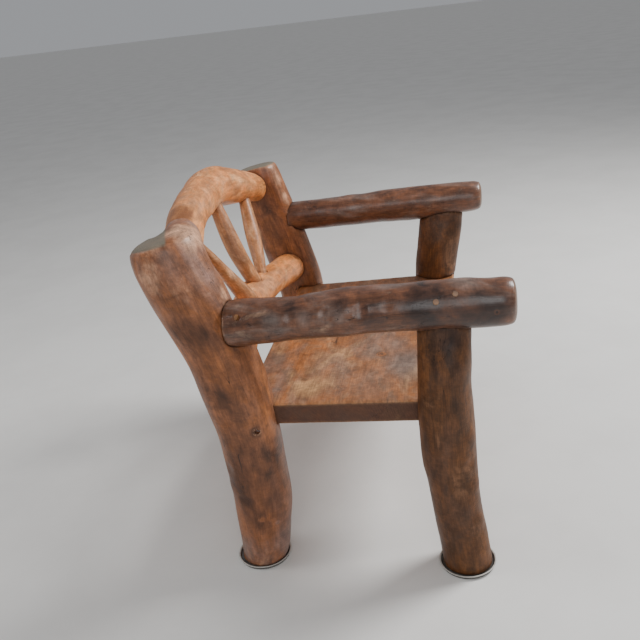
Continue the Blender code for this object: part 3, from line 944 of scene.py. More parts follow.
@dataclass(frozen=True)
class Pith:
    """The middle line of a log, which its grain follows."""

    axis: Axis
    places: Array
    middles: Array
    seed: int

    # How many places along a log are looked at, and how many points one of them needs
    SLICES, FEWEST_POINTS = 15, 9
    # How far each seed shifts the figure along its log
    SEED_SHIFT = 1.7

    @classmethod
    def of(cls, points: Array, axis: Axis, cut: Cut, seed: int) -> Pith:
        """Finds the middle line from a solid's points, slice by slice.

        Args:
            points: The solid's points.
            axis: The axis that the log runs along.
            cut: How its inner side was left.
            seed: The log's own number.

        Returns:
            The middle line.
        """
        at = points[:, axis.value]
        places, step = np.linspace(at.min(), at.max(), cls.SLICES, retstep=True)
        found = []
        for place in places:
            close = np.abs(at - place) < step
            chosen = points[close] if close.sum() >= cls.FEWEST_POINTS else points
            least, most = chosen.min(axis=0), chosen.max(axis=0)
            middle = (least + most) / 2
            if cut is Cut.SAWN_FLAT:
                side = math.copysign(1, middle[0])
                middle[0] = side * (max(abs(least[0]), abs(most[0])) - (most[1] - least[1]) / 2)
            found.append(middle[axis.others])
        middles = np.array(found)
        for _ in range(2):
            middles[1:-1] = (middles[:-2] + 2 * middles[1:-1] + middles[2:]) / 4
        return cls(axis, places, middles, seed)

    def grain(self, points: Array) -> Array:
        """Each point's place in the log: u and v from the pith, then s along it.

        Args:
            points: The points.

        Returns:
            One row for each point.
        """
        at = points[:, self.axis.value]
        steps = np.linalg.norm(np.diff(np.column_stack([self.places, self.middles]), axis=0), axis=1)
        run = np.concatenate([[0], np.cumsum(steps)])
        off = [
            points[:, other] - np.interp(at, self.places, middle)
            for other, middle in zip(self.axis.others, self.middles.T)
        ]
        return np.stack([*off, np.interp(at, self.places, run) + self.seed * self.SEED_SHIFT], axis=1)

    def direction(self, points: Array) -> Array:
        """The log's direction beside each point.

        Args:
            points: The points.

        Returns:
            One unit vector for each point.
        """
        runs = np.zeros((len(points), 3))
        runs[:, self.axis.value] = 1
        for other, slope in zip(self.axis.others, np.gradient(self.middles, self.places, axis=0).T):
            runs[:, other] = np.interp(points[:, self.axis.value], self.places, slope)
        return runs / np.linalg.norm(runs, axis=1)[:, None]


@dataclass(frozen=True)
class Mark:
    """A feature at one place on a log: a knot, a stain, a paler or darker patch, a dent or a bump; some
    patches paint light or shade.
    """

    place: Place
    radius: float
    tone: float = 0.0
    rise: float = 0.0
    knot: float = 0.0
    haze: float = 0.0
    stretch: float = 1.0

    # The share of the radius that has the mark's full strength
    CORE = 0.15

    def share(self, points: Array, axis: Axis) -> Array:
        """1 at the mark's middle, falling softly to 0 at its rim; stretch lengthens it along the log.

        Args:
            points: The points.
            axis: The log's axis.

        Returns:
            The mark's share at each point.
        """
        away = points - np.array(self.place)
        away[:, axis.value] /= self.stretch
        return 1 - ramp(np.linalg.norm(away, axis=1), self.radius * self.CORE, self.radius)


@dataclass(frozen=True)
class Line:
    """A hairline check or a scratch: a dark line through some places on a log's outer side."""

    places: tuple[Place, ...]
    width: float
    strength: float
    depth: float = 0.02

    CORE = 0.3

    def share(self, points: Array) -> Array:
        """The line's strength on it, seen along X, falling to 0 beside it.

        Args:
            points: The points.

        Returns:
            The strength at each point.
        """
        places = np.array(self.places)
        best = np.full(len(points), np.inf)
        for start, stop in zip(places[:, 1:], places[1:, 1:]):
            run = stop - start
            along = np.clip((points[:, 1:] - start) @ run / (run @ run), 0, 1)
            best = np.minimum(best, np.linalg.norm(points[:, 1:] - start - along[:, None] * run, axis=1))
        best[np.abs(points[:, 0] - places[0, 0]) > self.depth] = np.inf
        return self.strength * (1 - ramp(best, self.width * self.CORE, self.width))


@dataclass(frozen=True)
class Collar:
    """The swelling with which a post flows into a rail, and the edge from which its top is sawn."""

    start: Vector
    stop: Vector
    thick: float
    thin: float
    sawn_from: Place
    middle: Place = (0.0, -0.008, 0.004)
    reach: Span = (0.058, 0.092)
    rounds: int = 320

    # Where the swelling starts and stops past the post's face, and how far it runs back from its start
    ENDS, OVERRUN = (-0.004, 0.055), 0.034
    # How far to either side of such a place the rail's points tell its middle
    RING_REACH = 0.022
    SAWN_EDGE = (-0.002, 0.004)

    def add_to(self, bm: BMesh) -> None:
        """Adds the swelling to a log's solid."""
        add_rod(bm, self.start, self.stop, self.thick, BORE_SIDES, self.thin)

    def eased(self, points: Array) -> Array:
        """How far each point takes part in the smoothing of the collar."""
        away = np.linalg.norm(points - np.array(self.start) - self.middle, axis=1)
        return 1 - ramp(away, *self.reach)

    def sawn(self, points: Array) -> Array:
        """0 on the rounded part of the top and 1 on its sawn part."""
        x, y, slope = self.sawn_from
        return ramp(points[:, 1] - y - (points[:, 0] - x) * slope, *self.SAWN_EDGE)


class Lump(NamedTuple):
    """A run of soft swells and dips in a log: their size and height, and how far they stretch along it."""

    size: float
    height: float
    stretch: float


@dataclass
class Log:
    """One log, branch or post: the frame's solid, sanded round, lumped and marked for its finish."""

    node: str
    axis: Axis
    finish: WaxedWood
    neighbours: tuple[str, ...]
    cut: Cut = Cut.ROUND
    record_slot: str = "waxed_log"
    voxel: float = 0.0026
    sanding: int = 42
    edge_reach: float = 0.008
    easing: int = 4
    lumps: tuple[Lump, ...] = ()
    swell: float = 0.0005
    seed: int = 1
    plugged: tuple[ScrewLine, ...] = ()
    open_bores: tuple[ScrewLine, ...] = ()
    marks: tuple[Mark, ...] = ()
    lines: tuple[Line, ...] = ()
    collar: Collar | None = None
    # How far from the other parts the dirt and painted shade near joints reach
    joint_shade_reach: float = 0.009
    mouths: list[Vector] = field(default_factory=list)

    # How square to the log a face is where the lumps fade, and where it counts as sawn across
    LUMP_FADE = (0.62, 0.86)
    SAWN_ACROSS = (0.68, 0.92)
    # The share of the lumps that is left at a sawn end, at a sawn flat and at a sharp edge
    END_SHARE, FLAT_SHARE, EDGE_SHARE = 0.12, 0.2, 0.25
    FLAT_DEPTH, FLAT_FADE = 0.0035, 0.002
    # The angle from which a solid's edge counts as sharp, and from which the finished log shows a crease
    SHARP_DEGREES, CREASE_DEGREES = 38, 50
    EDGE_STEP, EDGE_CORE = 0.002, 0.2
    MOUTH_REACH = 0.012
    # How far a worn edge stands out over the places around it
    WORN_BULGE = (0.00006, 0.00030)
    # How often the bulge and the joints' dirt and painted shade are blurred, and how steeply that shade
    # falls off
    BULGE_BLUR, NOOK_BLUR, NOOK_FALL = 3, 2, 1.5
    # Tells the noises of different logs apart
    SEED_STEP = 17

    def build(self, around: Surroundings) -> None:
        """Makes the finished log, which stands for its node.

        Args:
            around: The frame's solids.
        """
        source = around.nodes[self.node]
        pith = Pith.of(world_points(source), self.axis, self.cut, self.seed)
        piece = self.remeshed(source)
        self.sand(piece.data, source, pith, around.limits)
        for line in self.plugged:
            mouth = line.mouth(piece)
            self.mouths.append(mouth)
            bottom, top = mouth + line.run * PLUG_BORE_DEPTH, mouth - line.run * BORE_OVERRUN
            bore(piece, bottom, top, PLUG_BORE_RADIUS)
        for line in self.open_bores:
            bore(piece, line.out(-HEAD_CLEARANCE), line.out(MOUTH_SEARCH), SCREW_BORE_RADIUS)
        self.mark(piece.data, around, pith)
        piece.data.materials.clear()
        piece.data.materials.append(self.finish.material())
        piece.data.shade_smooth()
        piece.data.set_sharp_from_angle(angle=math.radians(self.CREASE_DEGREES))
        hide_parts(self.node)
        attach(piece, BODY)
        LOG.info("%s: %d faces", piece.name, len(piece.data.polygons))

    def remeshed(self, source: Thing) -> Thing:
        """A copy of the solid in small even faces, its bores' mouths closed.

        Args:
            source: The frame's solid.

        Returns:
            The new object.
        """
        bm = solid_copy(source)
        for lines, height in ((self.plugged, PLUGGED_STOPPER), (self.open_bores, OPEN_STOPPER)):
            for line in lines:
                add_rod(bm, line.out(-STOPPER_DEPTH), line.out(height), STOPPER_RADIUS, STOPPER_SIDES)
        if self.collar:
            self.collar.add_to(bm)
        rough = new_object(f"{self.node}_coarse", bm)
        modifier = rough.modifiers.new("Even faces", "REMESH")
        modifier.mode = "VOXEL"
        modifier.voxel_size = self.voxel
        return baked(rough, f"{self.node}_wood")

    def sand(self, mesh: Mesh, source: Thing, pith: Pith, limits: Limits) -> None:
        """Takes the facets off, keeps the sawn edges fairly crisp, and adds the lumps of round wood.

        Args:
            mesh: The log's mesh in small even faces.
            source: The frame's solid.
            pith: The log's middle line.
            limits: The corners of the box that the log stays in.
        """
        points = mesh_points(mesh)
        edges = mesh_edges(mesh)
        weight = self.away_from_edges(points, source)
        points = relaxed(points, edges, np.ones(len(points)), self.easing)
        points = relaxed(points, edges, weight, self.sanding)
        if self.collar:
            points = relaxed(points, edges, self.collar.eased(points), self.collar.rounds)
        put_points(mesh, points)
        normals = mesh_normals(mesh)
        rise = self.swell + self.lump_height(points, normals, pith)
        for mark in self.marks:
            rise += mark.rise * mark.share(points, self.axis)
        kept = self.EDGE_SHARE + (1 - self.EDGE_SHARE) * weight
        points = points + normals * (rise * kept)[:, None]
        put_points(mesh, np.clip(points, *limits))

    def squareness(self, points: Array, normals: Array, pith: Pith, span: Span) -> Array:
        """1 where a face lies across the log and 0 where it runs along it."""
        return ramp(np.abs((pith.direction(points) * normals).sum(1)), *span)

    def lump_height(self, points: Array, normals: Array, pith: Pith) -> Array:
        """How far the wood swells out or dips at each point.

        Args:
            points: The log's points.
            normals: Their normals.
            pith: The log's middle line.

        Returns:
            One height for each point.
        """
        across = self.squareness(points, normals, pith, self.LUMP_FADE)
        if self.cut is Cut.SAWN_FLAT:
            depth = np.abs(points[:, 0]) - np.abs(points[:, 0]).min()
            flat = ramp(self.FLAT_DEPTH - depth, 0, self.FLAT_FADE) * (1 - self.FLAT_SHARE)
            across = np.maximum(across, flat)
        return self.swells(pith.grain(points), 2) * (1 - (1 - self.END_SHARE) * across)

    def swells(self, places: Array, along: int) -> Array:
        """The height of all the lumps together.

        Args:
            places: Where it is wanted.
            along: Which of the places' numbers runs along the log.

        Returns:
            One height for each place.
        """
        rise = np.zeros(len(places))
        for seed, lump in enumerate(self.lumps, self.seed * self.SEED_STEP):
            stretch = np.ones(3)
            stretch[along] = lump.stretch
            rise += lump.height * soft_noise(places / stretch, lump.size, seed)
        return rise

    def away_from_edges(self, points: Array, source: Thing) -> Array:
        """0 near the solid's sharp edges, 1 away from them.

        Args:
            points: The log's points.
            source: The frame's solid.

        Returns:
            One share for each point.
        """
        bm = solid_copy(source)
        places = []
        for edge in bm.edges:
            if len(edge.link_faces) == 2 and edge.calc_face_angle(0) > math.radians(self.SHARP_DEGREES):
                start, stop = (vertex.co for vertex in edge.verts)
                steps = max(1, int((stop - start).length / self.EDGE_STEP))
                places.extend(start.lerp(stop, k / steps) for k in range(steps + 1))
        bm.free()
        if not places:
            return np.ones(len(points))
        distance = nearest_distance(points, np.array(places))
        for line in self.plugged + self.open_bores:
            mouth = np.array(line.out(MOUTH_HEIGHT))
            distance = np.where(np.linalg.norm(points - mouth, axis=1) < self.MOUTH_REACH, 1.0, distance)
        return ramp(distance, self.edge_reach * self.EDGE_CORE, self.edge_reach)

    def mark(self, mesh: Mesh, around: Surroundings, pith: Pith) -> None:
        """Stores what the finish reads: grain, sawn ends, worn edges, the dirt and painted shade near
        joints, and the marks.

        Args:
            mesh: The log's mesh.
            around: The frame's solids.
            pith: The log's middle line.
        """
        points, normals, edges = mesh_points(mesh), mesh_normals(mesh), mesh_edges(mesh)
        across = self.squareness(points, normals, pith, self.SAWN_ACROSS)
        if self.collar:
            across *= self.collar.sawn(points)
        bulge = ((points - neighbour_mean(points, edges)) * normals).sum(1)
        bulge = blurred(bulge, edges, self.BULGE_BLUR)
        near = blurred(around.nearness(points, self.neighbours, self.joint_shade_reach), edges, self.NOOK_BLUR)
        wear = ramp(bulge, *self.WORN_BULGE) * (1 - near)
        tone, knot, haze, dark = np.zeros((4, len(points)))
        for mark in self.marks:
            share = mark.share(points, self.axis)
            tone += mark.tone * share
            knot = np.maximum(knot, mark.knot * share)
            haze = np.maximum(haze, mark.haze * share)
        for line in self.lines:
            dark = np.maximum(dark, line.share(points))
        set_values(mesh, "grain", self.grain(points, pith))
        # Dirt and painted shade near the joints, strongest where the parts touch
        joint_dirt_and_shade = near**self.NOOK_FALL
        for name, values in zip(MARK_VALUES, (across, wear, joint_dirt_and_shade, tone, knot, haze, dark)):
            set_values(mesh, name, values)

    def grain(self, points: Array, pith: Pith) -> Array:
        """The places that the finish reads its figure from."""
        return pith.grain(points)


@dataclass
class Slab(Log):
    """The thick seat slab: sawn from a log whose pith ran beside and under it."""

    pith_offset: Span = (0.34, -0.22)

    def grain(self, points: Array, pith: Pith) -> Array:
        """The places from the far pith, so that the rings show as long lines.

        Args:
            points: The slab's points.
            pith: Its own middle line, which isn't needed.

        Returns:
            One row for each point.
        """
        low, high = (np.array(corner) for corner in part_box(self.node))
        off = points[:, 1:] - (low + high)[1:] / 2 - self.pith_offset
        return np.column_stack([off, points[:, 0] + self.seed])

    def lump_height(self, points: Array, normals: Array, pith: Pith) -> Array:
        """The slight unevenness of a planed and sanded slab."""
        return self.swells(points, self.axis.value)


# Turned parts


@dataclass(frozen=True)
class Profile:
    """The outline of a turned part, as shares of its radius and height, from under its middle to over it."""

    name: str
    steps: tuple[Span, ...]
    sides: int

    # How quickly a wobble changes round the part
    SWING = 1.3

    def group(self) -> bpy.types.NodeTree:
        """The Geometry Nodes tree that turns this outline, made once.

        Returns:
            The tree.
        """
        group = bpy.data.node_groups.get(self.name)
        if group:
            return group
        group = bpy.data.node_groups.new(self.name, "GeometryNodeTree")
        kinds = {"Radius": "Float", "Height": "Float", "Wobble": "Float", "Seed": "Int"}
        for label, kind in {**kinds, "Finish": "Material"}.items():
            group.interface.new_socket(name=label, in_out="INPUT", socket_type=f"NodeSocket{kind}")
        group.interface.new_socket(name="Geometry", in_out="OUTPUT", socket_type="NodeSocketGeometry")
        nodes = Nodes(group)
        entry = nodes.add("NodeGroupInput").outputs
        size = {"Size X": 1.0, "Size Y": 1.0, "Vertices X": self.sides + 1, "Vertices Y": len(self.steps)}
        sheet = nodes.add("GeometryNodeMeshGrid", size)
        place = nodes.add("GeometryNodeInputPosition").outputs[0]
        parts = nodes.add("ShaderNodeSeparateXYZ", {0: place}).outputs
        turn = nodes.times(nodes.plus(parts["X"], 0.5), math.tau)
        share = nodes.plus(parts["Y"], 0.5)
        circle = {"X": nodes.math("COSINE", turn), "Y": nodes.math("SINE", turn)}
        spin = nodes.add("ShaderNodeCombineXYZ", circle).outputs[0]
        unevenness = {"Vector": spin, "W": entry["Seed"], "Scale": self.SWING}
        swing = nodes.add("ShaderNodeTexNoise", unevenness, noise_dimensions="4D").outputs["Fac"]
        shake = nodes.times(nodes.plus(swing, -0.5), entry["Wobble"])
        radius = nodes.times(self.curve(nodes, share, 0), entry["Radius"])
        radius = nodes.times(radius, nodes.plus(shake, 1.0))
        height = nodes.times(self.curve(nodes, share, 1), entry["Height"])
        lift = nodes.add("ShaderNodeCombineXYZ", {"Z": height}).outputs[0]
        out = nodes.add("ShaderNodeVectorMath", {0: spin, "Scale": radius}, operation="SCALE").outputs[0]
        spot = nodes.vector("ADD", out, lift)
        shape = sheet.outputs["Mesh"]
        for kind, inputs in (
            ("GeometryNodeSetPosition", {"Position": spot}),
            ("GeometryNodeMergeByDistance", {"Distance": WELD}),
            ("GeometryNodeRealizeInstances", {}),
            ("GeometryNodeSetMaterial", {"Material": entry["Finish"]}),
        ):
            shape = nodes.add(kind, {"Geometry": shape, **inputs}).outputs[0]
        nodes.add("NodeGroupOutput", {"Geometry": shape})
        return group

    def curve(self, nodes: Nodes, share: Socket, column: int) -> Socket:
        """One column of the outline as a curve over the share of the way along it.

        Args:
            nodes: The tree's nodes.
            share: The share of the way.
            column: 0 for the radius, 1 for the height.

        Returns:
            The curve's value.
        """
        node = nodes.add("ShaderNodeFloatCurve", {"Value": share})
        points = node.mapping.curves[0].points
        last = len(self.steps) - 1
        points[0].location = (0.0, self.steps[0][column])
        points[1].location = (1.0, self.steps[last][column])
        for number in range(1, last):
            points.new(number / last, self.steps[number][column])
        for point in points:
            point.handle_type = "VECTOR"
        node.mapping.update()
        return node.outputs[0]


CUP = Profile(
    "foot_cup",
    (
        (0.0, 0.14), (0.70, 0.14), (0.72, 0.05), (0.74, 0.0), (0.90, 0.0), (0.935, 0.03), (0.945, 0.12),
        (0.955, 0.55), (0.965, 0.76), (0.985, 0.80), (0.998, 0.88), (0.994, 0.97), (0.978, 1.0),
        (0.956, 0.99), (0.944, 0.93), (0.935, 0.78), (0.925, 0.50), (0.915, 0.38), (0.895, 0.335),
        (0.80, 0.33), (0.79, 0.36), (0.775, 0.36), (0.765, 0.33), (0.0, 0.33),
    ),
    sides=120,
)
PLUG = Profile(
    "wood_plug",
    (
        (0.0, 0.0), (0.86, 0.0), (0.95, 0.04), (1.0, 0.12), (1.0, 0.60), (1.0, 0.90), (0.985, 0.945),
        (0.95, 0.965), (0.80, 0.98), (0.55, 0.99), (0.28, 0.998), (0.0, 1.0),
    ),
    sides=40,
)
SCREW = Profile(
    "wood_screw",
    (
        (0.0, 0.0), (0.06, 0.004), (0.30, 0.06), (0.51, 0.12), (0.51, 0.60), (0.51, 0.955), (0.60, 0.962),
        (0.98, 0.993), (1.0, 0.996), (1.0, 0.9985), (0.97, 1.0), (0.52, 1.0), (0.46, 0.996), (0.36, 0.980),
        (0.0, 0.978),
    ),
    sides=32,
)


@dataclass
class TurnedPart:
    """One part made on a lathe: a cup, a plug or a screw."""

    node: str
    name: str
    profile: Profile
    finish: PlainFinish
    record_slot: str
    radius: float
    height: float
    place: Matrix
    wobble: float = 0.0
    seed: int = 0

    CREASE_DEGREES = 40

    def build(self) -> None:
        """Makes the part, which stands for its node."""
        thing = new_object(self.name, bpy.data.meshes.new(self.name))
        modifier = thing.modifiers.new("Turned", "NODES")
        modifier.node_group = self.profile.group()
        values = {
            "Radius": self.radius,
            "Height": self.height,
            "Wobble": self.wobble,
            "Seed": self.seed,
            "Finish": self.finish.material(),
        }
        for item in modifier.node_group.interface.items_tree:
            if item.item_type == "SOCKET" and item.in_out == "INPUT":
                modifier[item.identifier] = values[item.name]
        piece = baked(thing, self.name)
        bm = bmesh.new()
        bm.from_mesh(piece.data)
        bmesh.ops.recalc_face_normals(bm, faces=bm.faces)
        bm.to_mesh(piece.data)
        bm.free()
        piece.data.transform(self.place)
        piece.data.shade_smooth()
        piece.data.set_sharp_from_angle(angle=math.radians(self.CREASE_DEGREES))
        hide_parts(self.node)
        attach(piece, BODY)
        LOG.info("%s: %d faces", piece.name, len(piece.data.polygons))


# Finishes

POST_WOOD = WaxedWood(
    "post_wood", base="#8A5738", warm="#935A33", pale="#CB9A78", dark="#4A2B19", cool="#85706A",
    end_grain="#6F6C5E", mottle_size=0.075,
)
# The leg's darker browns: partly its own wood, partly painted shade.
LEG_WOOD = WaxedWood(
    "leg_wood", base="#5A3A22", warm="#694122", pale="#95694A", dark="#2F1D15", cool="#463630",
    mottle_size=0.060, stain_share=0.5, roughness=0.46, coat=0.04, specular=0.26,
)
ARM_WOOD = WaxedWood(
    "arm_wood", base="#5E3D2D", warm="#6E452E", pale="#A6856A", dark="#2E1D17", cool="#7E6E66",
    end_grain="#6E523E", mottle_size=0.038, stain_share=0.6, roughness=0.30, coat=0.32, bump=0.5,
)
# The rails' pale orange browns: partly their own wood, partly painted sunlight.
RAIL_WOOD = WaxedWood(
    "rail_wood", base="#DB9156", warm="#D07F42", pale="#F4BD8B", dark="#8C5733", cool="#C08C68",
    mottle_size=0.042, fibre_share=0.14,
)
SPINDLE_WOOD = WaxedWood(
    "spindle_wood", base="#BC8458", warm="#B27446", pale="#E2B48C", dark="#764A2E", cool="#966E56",
    mottle_size=0.035, fibre_share=0.16,
)
SEAT_WOOD = WaxedWood(
    "slab_wood", base="#9C6E4C", warm="#A5673A", pale="#D0A06E", dark="#69462F", cool="#77685F",
    end_grain="#4A3026", mottle_size=0.085, roughness=0.44, coat=0.06, saw_arcs=0.8, ring_width=0.0050,
    ring_share=0.30, fibre_share=0.16,
)
PLUG_WOOD = PlainFinish(
    "plug_finish", "#8E6238", "#6E4626", 0.40, grain_scale=160, stretch=(1.0, 0.3, 1.0), coat=0.2
)
SCREW_STEEL = PlainFinish("screw_finish", "#C4C6CC", "#8E8C8A", 0.45, metallic=0.65, grain_scale=300)
CUP_PLASTIC = PlainFinish(
    "cup_finish", "#5E5B57", "#45423E", 0.30, grain_scale=70, bump=0.15, coat=0.3, rim="#BEBAB3"
)

# What stands out on each log and on the seat's top, in the chair's own metres

POST_MARKS = {
    "right": (
        Mark((-0.448, 0.258, 0.607), 0.070, tone=-0.9, stretch=0.8),
        Mark((-0.445, 0.218, 0.572), 0.060, tone=-0.6),
        Mark((-0.447, 0.210, 0.445), 0.026, tone=-0.3, rise=-0.0015, stretch=1.4),
        Mark((-0.428, 0.196, 0.598), 0.013, tone=1.4, stretch=1.4),
        Mark((-0.395, 0.188, 0.622), 0.013, tone=1.4, stretch=1.4),
        Mark((-0.425, 0.152, 0.354), 0.022, tone=0.6, rise=0.0012),
        Mark((-0.439, 0.170, 0.144), 0.011, tone=1.3, knot=0.5, rise=0.0010),
        Mark((-0.425, 0.142, 0.127), 0.009, tone=1.2, knot=0.4, rise=0.0008),
        Mark((-0.440, 0.198, 0.194), 0.026, tone=-0.7, rise=-0.0016, stretch=0.6),
        Mark((-0.435, 0.240, 0.262), 0.030, tone=-0.4, rise=-0.0060, stretch=0.9),
        Mark((-0.427, 0.242, 0.212), 0.032, rise=0.0035),
        # The next two marks lighten the post's upper part: painted light.
        Mark((-0.449, 0.288, 0.700), 0.100, tone=0.55),
        Mark((-0.420, 0.230, 0.690), 0.100, tone=0.30),
        Mark((-0.385, 0.186, 0.650), 0.035, tone=0.7),
        # The next two marks darken the post from below the arm to its foot: painted shade.
        Mark((-0.440, 0.200, 0.470), 0.130, tone=-0.55, stretch=1.4),
        Mark((-0.430, 0.180, 0.230), 0.150, tone=-1.0, stretch=1.4),
        # A much paler dome where the post flows into the rail: the rail's colour carried on, with a painted
        # highlight.
        Mark((-0.368, 0.248, 0.785), 0.078, tone=2.4),
        Mark((-0.4385, 0.262, 0.735), 0.050, haze=0.35, stretch=1.3),
        Mark((-0.425, 0.215, 0.700), 0.040, haze=0.25, stretch=1.3),
        Mark((-0.392, 0.119, 0.158), 0.060, rise=0.0040, stretch=1.3),
        Mark((-0.420, 0.150, 0.060), 0.050, tone=0.5, rise=0.0020),
    ),
    "left": (
        # The next four marks paint a pale highlight band down the post's rounded front edge.
        Mark((0.352, 0.240, 0.775), 0.036, tone=1.5, stretch=1.5),
        Mark((0.350, 0.226, 0.735), 0.034, tone=1.0, stretch=1.6),
        Mark((0.348, 0.214, 0.695), 0.034, tone=1.2, rise=0.0010, stretch=1.6),
        Mark((0.346, 0.203, 0.655), 0.030, tone=1.1, stretch=1.2),
        Mark((0.335, 0.255, 0.650), 0.050, tone=-0.8),
        Mark((0.335, 0.238, 0.560), 0.040, tone=-0.5),
    ),
}
POST_LINES = {
    "right": (
        Line(((-0.4307, 0.276, 0.7700), (-0.4338, 0.260, 0.7440), (-0.4351, 0.248, 0.7090)), 0.0026, 0.42),
        Line(((-0.4455, 0.301, 0.6672), (-0.4460, 0.274, 0.6700), (-0.4427, 0.248, 0.6776)), 0.0030, 0.40),
    ),
    "left": (),
}
LEG_MARKS = {
    "right": (
        # A darker, greyer patch on the leg's top just under the arm: painted shade.
        Mark((-0.432, -0.251, 0.560), 0.060, tone=-0.5, haze=0.6),
        Mark((-0.425, -0.285, 0.330), 0.030, rise=0.0030, tone=0.4),
        Mark((-0.425, -0.290, 0.220), 0.028, rise=0.0028, tone=0.4),
        Mark((-0.430, -0.275, 0.275), 0.022, rise=-0.0025),
        Mark((-0.430, -0.295, 0.130), 0.030, rise=0.0030, tone=0.5),
    ),
    # The left leg's darker patch just under its arm is painted shade as well.
    "left": (Mark((0.346, -0.198, 0.507), 0.060, tone=-0.5),),
}
ARM_MARKS = {
    "right": (
        Mark((-0.4412, -0.3405, 0.6069), 0.008, knot=1.0, rise=-0.0008),
        Mark((-0.443, -0.090, 0.623), 0.026, rise=-0.0030, stretch=0.6),
        Mark((-0.440, -0.140, 0.632), 0.020, rise=-0.0016, stretch=0.8),
        Mark((-0.442, -0.022, 0.612), 0.032, rise=-0.0026, stretch=0.5),
        Mark((-0.436, 0.046, 0.616), 0.024, rise=-0.0018, stretch=0.7),
        Mark((-0.440, -0.060, 0.630), 0.022, rise=0.0014, stretch=0.7),
        Mark((-0.423, 0.049, 0.628), 0.030, tone=-0.7),
        Mark((-0.429, -0.060, 0.641), 0.028, tone=-0.6),
        Mark((-0.436, 0.165, 0.590), 0.040, tone=0.5),
        # The next three marks paint a grey sheen of reflected sky beside the dents.
        Mark((-0.442, 0.084, 0.606), 0.032, haze=0.8),
        Mark((-0.440, 0.020, 0.612), 0.026, haze=0.7),
        Mark((-0.442, -0.050, 0.616), 0.022, haze=0.8),
        # The next two marks paint the arm's front part darker: painted shade.
        Mark((-0.440, -0.220, 0.620), 0.090, tone=-1.1),
        Mark((-0.440, -0.320, 0.600), 0.075, tone=-1.3),
        Mark((-0.430, -0.115, 0.600), 0.045, tone=-0.6),
    ),
    "left": (),
}
RAIL_MARKS = {
    "top_rail": (
        Mark((0.094, 0.316, 0.810), 0.050, rise=0.0030, tone=0.4),
        Mark((-0.235, 0.335, 0.800), 0.030, knot=0.55, tone=0.4),
        # The next three marks darken the rail's end by the right post: dark smudges in the wood and painted
        # shade.
        Mark((-0.284, 0.290, 0.796), 0.055, tone=-1.6),
        Mark((-0.325, 0.275, 0.765), 0.050, tone=-0.9),
        Mark((-0.215, 0.330, 0.790), 0.070, tone=-0.9),
        Mark((-0.200, 0.310, 0.820), 0.040, haze=0.5),
        Mark((-0.110, 0.340, 0.790), 0.060, tone=-0.6, haze=0.3),
        Mark((0.010, 0.330, 0.800), 0.060, tone=0.7),
        Mark((0.134, 0.270, 0.754), 0.060, tone=0.7),
    ),
    "lower_rail": (
        # Painted light on the rail's knuckle, and a painted shadow of the left post on its far end.
        Mark((0.162, 0.191, 0.492), 0.060, tone=0.6),
        Mark((0.318, 0.195, 0.480), 0.034, tone=-1.6),
    ),
}
SEAT_TOP = 0.391
SEAT_MARKS = (
    Mark((-0.220, 0.048, SEAT_TOP), 0.110, tone=0.9, stretch=1.8),
    Mark((-0.315, 0.056, SEAT_TOP), 0.060, tone=0.9, stretch=1.4),
    Mark((-0.195, -0.144, SEAT_TOP), 0.085, haze=0.85, stretch=1.6),
    Mark((-0.101, -0.116, SEAT_TOP), 0.060, haze=0.7, stretch=1.6),
    Mark((-0.290, -0.080, SEAT_TOP), 0.090, haze=0.45, stretch=1.6),
    Mark((-0.310, 0.130, SEAT_TOP), 0.030, haze=0.8),
    Mark((0.120, 0.020, SEAT_TOP), 0.100, haze=0.7, stretch=1.8),
    Mark((0.200, -0.100, SEAT_TOP), 0.100, tone=1.0, stretch=1.6),
    Mark((-0.150, -0.090, SEAT_TOP), 0.022, knot=0.5),
)


# The chair


def rail_collar(around: Surroundings) -> Collar:
    """The swelling with which the right post flows into the top rail.

    Args:
        around: The frame's solids.

    Returns:
        The collar.
    """
    points = world_points(around.nodes["top_rail"])
    post_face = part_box("back_post_right")[1][0]
    middles = []
    for x in (post_face + end for end in Collar.ENDS):
        ring = points[np.abs(points[:, 0] - x) < Collar.RING_REACH]
        middles.append(Vector((x, *((ring.min(axis=0) + ring.max(axis=0)) / 2)[1:])))
    start, stop = middles
    start -= (stop - start).normalized() * Collar.OVERRUN
    return Collar(start, stop, thick=0.054, thin=0.036, sawn_from=(-0.430, 0.268, 0.34))


